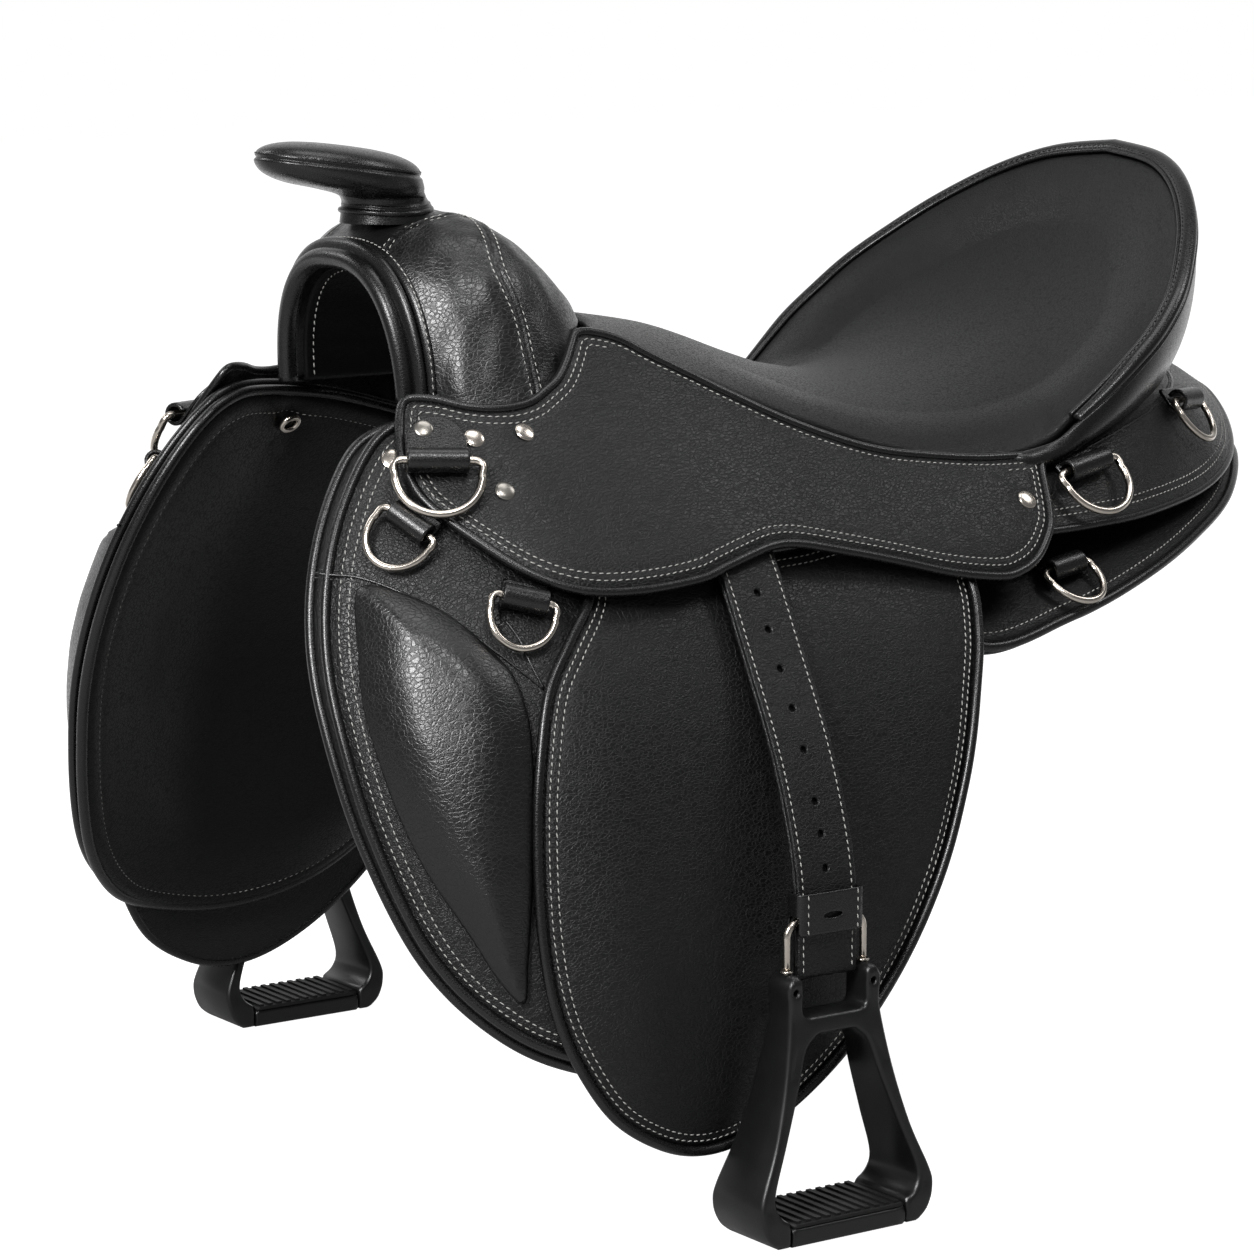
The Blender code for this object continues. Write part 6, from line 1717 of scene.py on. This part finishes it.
# %% Rings and their rolls
LARGE_RING, SMALL_RING = (2.2 * MM, 22.5 * MM, 31 * MM), (2.0 * MM, 17 * MM, 27 * MM)
RING_LEAN = math.radians(6)
ROLL_RADIUS, ROLL_SHARE, TAB_THICK = 6.6 * MM, 0.72, 2.4 * MM
RING_RISE, SHOULDER_SHARE, LONG_TAB = ROLL_RADIUS + 0.8 * MM, 0.3, 20 * MM
SIDE_RINGS = [
    ("pommel", LARGE_RING, 30 * MM, -0.2647, 0.0358, 7.5 * MM, -3),
    ("breast", SMALL_RING, 12 * MM, -0.2861, 0.0103, 0.0, -39),
    ("girth_front", SMALL_RING, 12 * MM, -0.2492, -0.0262, 0.0, -16)]
SKIRT_RINGS = [("skirt", LARGE_RING, 12 * MM, 0.211, 0.435, 2), ("crupper", SMALL_RING, 12 * MM, 0.570, 0.364, -20)]
PANEL_RING = ("girth_rear", SMALL_RING, 12 * MM, 0.1747, 0.1143, 6)


def skirt_spot(t, w, lift):
    u, w = np.array(1 - t), np.array(w)
    normal = patch_normal(skirt_patch, u, w, 0.01)
    return skirt_patch(u, w) + normal * np.sign(normal[2]) * lift


def tangent_frame(spot, turn_by):
    place = spot(0, 0)
    out = unit(spot(0, 1.0) - place)
    bar = spot(0.004, 0) - spot(-0.004, 0)
    bar = unit(bar - out * (bar @ out))
    bar = np.array(Matrix.Rotation(math.radians(turn_by), 3, Vector(out)) @ Vector(bar))
    return place, bar, out


ring_list = []
for name, size, tab, y, z, lift, turn_by in SIDE_RINGS:
    ring_list.append((name, size, tab, tangent_frame(
        lambda run, up: side_spot(y + run, z, lift + RING_RISE + up), turn_by)))
for name, size, tab, t, w, turn_by in SKIRT_RINGS:
    ring_list.append((name, size, tab, tangent_frame(lambda run, up: skirt_spot(t + run, w, RING_RISE + up), turn_by)))
name, size, tab, x, y, turn_by = PANEL_RING
ring_list.append((name, size, tab, tangent_frame(
    lambda run, up: on_pad(np.array((x, y + run)), RING_RISE + up)[0], turn_by)))


def bent_wire(gauge, half, drop, place, bar, hang):
    """D of wire: a straight bar, and a bow that hangs from it."""
    shoulder = SHOULDER_SHARE * drop
    line = [(-half + 1.5 * gauge, 0), (half - 1.5 * gauge, 0)]
    line += [(half * math.cos(a), shoulder + (drop - shoulder) * math.sin(a))
             for a in np.radians(np.linspace(0, 180, 19))]
    bent = even_path(line, closed=True, step=1.2 * MM)
    bent[:, 1] = np.maximum(bent[:, 1], 0)
    return Shape().add(*roll(place + bar * bent[:, :1] + hang * bent[:, 1:], gauge, closed=True, sides=14,
                             up=np.broadcast_to(np.cross(bar, hang), (len(bent), 3))))


def leather_roll(half, tab, place, bar, out, down):
    """Strip of leather that runs down behind the bar, under it and up over the front."""
    wrap = ROLL_RADIUS - 0.5 * TAB_THICK
    back = [(-wrap, tab), (-wrap, 0.5 * tab), (-wrap, 2 * MM)]
    turned = [(wrap * math.cos(a), wrap * math.sin(a)) for a in np.radians(np.linspace(180, 470, 26))]
    strip = even_path(back + turned + [(-wrap + TAB_THICK + 0.2 * MM, wrap + 1 * MM)], step=0.7 * MM)
    strip_run, strip_away = run_of(strip), -square_to(strip)

    def on_strip(flat, lift):
        (a, b), (na, nb) = at_run(strip_run, strip, flat[:, 0]), at_run(strip_run, strip_away, flat[:, 0])
        normal = unit(out * na[:, None] - down * nb[:, None])
        return place + bar * flat[:, 1:2] + out * a[:, None] - down * b[:, None] + normal * lift[:, None]

    def face(side_of):
        return lambda flat, edge: on_strip(flat, side_of * (0.5 * TAB_THICK - round_edge(edge, 1.1 * MM)))

    wide = ROLL_SHARE * half
    outline = [(0, wide), (0, -wide)]
    if tab > LONG_TAB:
        outline = [(wide + wide * math.cos(a), wide * math.sin(a)) for a in np.radians(np.linspace(90, 270, 13))]
    outline += [(strip_run[-1], -wide), (strip_run[-1], wide)]
    net = leather_net(outline, (0.4 * MM, 0.9 * MM, 1.3 * MM), 2.6 * MM, step=1.8 * MM, smooth=False)
    return Shape().add_sheet(net, face(1), face(-1))


for name, (gauge, half, drop), tab, (place, bar, out) in ring_list:
    down = np.cross(bar, out)
    down = unit(down if down[2] < 0 else -down)
    hang = down * math.cos(RING_LEAN) - out * math.sin(RING_LEAN)
    ring_name = "ring_" + name + "_{}"
    wire_shape = bent_wire(gauge, half, drop, place, bar, hang)
    roll_shape = leather_roll(half, tab, place, bar, out, down)
    both_sides(("d_ring_" + name + "_{}", wire_shape, (nickel,), ring_name, "nickel", ring_name),
               ("roll_" + name + "_{}", roll_shape, (smooth_hide,), "saddle", "black_leather",
                "ring_roll_" + name + "_{}"))
print("rings:", [entry[0] for entry in ring_list])


# %% Rivets
def rivet_tree():
    tree, start, end, names = new_tree("set_rivets", "Spots", "Rivets", (
        ("width", "Rivet width", "Float", 12.5 * MM), ("height", "Dome height", "Float", 2.6 * MM),
        ("stuff", "Metal", "Material", None)))
    dome = node(tree, "GeometryNodeMeshUVSphere", {"Segments": 32, "Rings": 16, "Radius": 0.5})
    brim = node(tree, "GeometryNodeMeshUVSphere", {"Segments": 32, "Rings": 12, "Radius": 0.53})
    low = node(tree, "GeometryNodeTransform", {"Scale": (1, 1, 0.42)})
    both = tree.nodes.new("GeometryNodeJoinGeometry")
    aim = node(tree, "FunctionNodeAlignRotationToVector", axis="Z")
    size = tree.nodes.new("ShaderNodeCombineXYZ")
    placed = tree.nodes.new("GeometryNodeInstanceOnPoints")
    wire(tree, (brim.outputs["Mesh"], low.inputs[0]), (dome.outputs["Mesh"], both.inputs[0]),
         (low.outputs[0], both.inputs[0]), (start.outputs["Spots"], placed.inputs["Points"]),
         (both.outputs[0], placed.inputs["Instance"]), (out_direction(tree), aim.inputs["Vector"]),
         (aim.outputs[0], placed.inputs["Rotation"]), (start.outputs["Rivet width"], size.inputs["X"]),
         (start.outputs["Rivet width"], size.inputs["Y"]), (start.outputs["Dome height"], size.inputs["Z"]),
         (size.outputs[0], placed.inputs["Scale"]))
    end_tree(tree, placed, start.outputs["Metal"], end)
    return tree, names


set_rivets, rivet_inputs = rivet_tree()


def rivets(name, spots, side, metal, width, height):
    """Domes on (point, outward direction) spots of one side."""
    flip = (side, 1, 1)
    mesh = bpy.data.meshes.new(name)
    mesh.from_pydata([tuple(point * flip) for point, _ in spots], [], [])
    point_directions(mesh, [out * flip for _, out in spots])
    holder = grown_by(in_scene(name + "_spots", mesh), set_rivets, {
        rivet_inputs["width"]: width, rivet_inputs["height"]: height, rivet_inputs["stuff"]: metal})
    return evaluated_piece(name, holder, "saddle")


def side_rivet(y, z, lift):
    points, normals = on_side(np.array([(y, z)]), np.array([lift]))
    return points[0], normals[0]


def on_jockey(y, z):
    flat = np.array([(y, z)])
    edge = loop_distance(flat, [even_path(JOCKEY_OUTLINE, closed=True, step=3 * MM)])
    return side_rivet(y, z, float(value_at(JOCKEY_LIFT, y) + dimples(flat, edge)[0]) + RIVET_LIFT)


RIVET_LIFT, FLAP_SPOT, LOW_RIVET_LIFT = 0.5 * MM, (-0.2808, 0.0438), 10.4 * MM
BRIGHT_SPOTS, DARK_SPOTS = [RIVET_PLACES[k] for k in (1, 2, 4)], [RIVET_PLACES[k] for k in (0, 3)]
for side, label in SIDES:
    bright = [on_jockey(y, z) for y, z in BRIGHT_SPOTS] + [side_rivet(*FLAP_SPOT, 0.4 * MM)]
    dark = [side_rivet(*DARK_SPOTS[0], LOW_RIVET_LIFT), on_jockey(*DARK_SPOTS[1])]
    rivets("bright_rivets_" + label, bright, side, nickel, 10.8 * MM, 2.2 * MM)
    rivets("dark_rivets_" + label, dark, side, antique, 10.6 * MM, 2.8 * MM)
print("rivets a side:", len(bright) + len(dark))

# %% Eyelet on the horse side of each front panel
EYELET_RING, EYELET_WIRE, EYELET_BORE = 5.2 * MM, 1.7 * MM, 4.2 * MM
eyelet_depth = panel_depth(np.array([EYELET]), np.array([0.02]))
eyelet_point, eyelet_normal = on_side(np.array([EYELET]), PANEL_FACE - eyelet_depth)
eyelet_point, eyelet_normal = eyelet_point[0], -eyelet_normal[0]
first = unit(np.cross(eyelet_normal, (0, 1.0, 0)))
second = np.cross(eyelet_normal, first)


def eyelet_ring(radius, raised):
    return (eyelet_point + first * (radius * np.cos(around))[:, None] + second * (radius * np.sin(around))[:, None]
            + eyelet_normal * raised)


eyelet = Shape().add(*roll(eyelet_ring(EYELET_RING, 0.6 * MM), EYELET_WIRE, closed=True))
bore = eyelet_ring(EYELET_BORE, 0.2 * MM)
eyelet.add(np.concatenate([bore, bore - eyelet_normal * 1.5 * MM]),
           grid_faces(2, len(around), closed=True) + two_ends(2, len(around)), slot=1)
both_sides(("eyelet_{}", eyelet, (nickel, lining_hide), "saddle", "nickel"))
print("eyelets set")

# %% Sew everything
SEWN_PIECES = {  # sewn body: the piece's name and the body that it rides on; * stands for the thread
    "side": ("side_*_stitches_{}", "saddle"), "centre": ("centre_*_stitches", "saddle"),
    "strap": ("strap_stitches_{}", "stirrup_leather_{}")}
for (body, kind), lines in SEAMS.items():
    thread = white_thread if kind == "white" else black_thread
    name, rides = SEWN_PIECES[body]
    for side, label in SIDES:
        if body == "centre" and side == OFF:
            continue
        rows = grown_by(seam_lines(lines, side), sewn_row, {row_inputs["thread"]: thread})
        evaluated_piece(name.replace("*", kind).format(label), rows, rides.format(label))
print("rows sewn:", {"%s %s" % key: len(lines) for key, lines in SEAMS.items()})

# %% Solids that show as they are
STUFF_OF = {"saddle_tree": fibre, "pommel_arch": steel, "stirrup_bar_left": steel, "stirrup_bar_right": steel}
for name, stuff in STUFF_OF.items():
    for place in bpy.data.objects[name].material_slots:
        place.material = stuff
print("tree, arch and bars dressed")
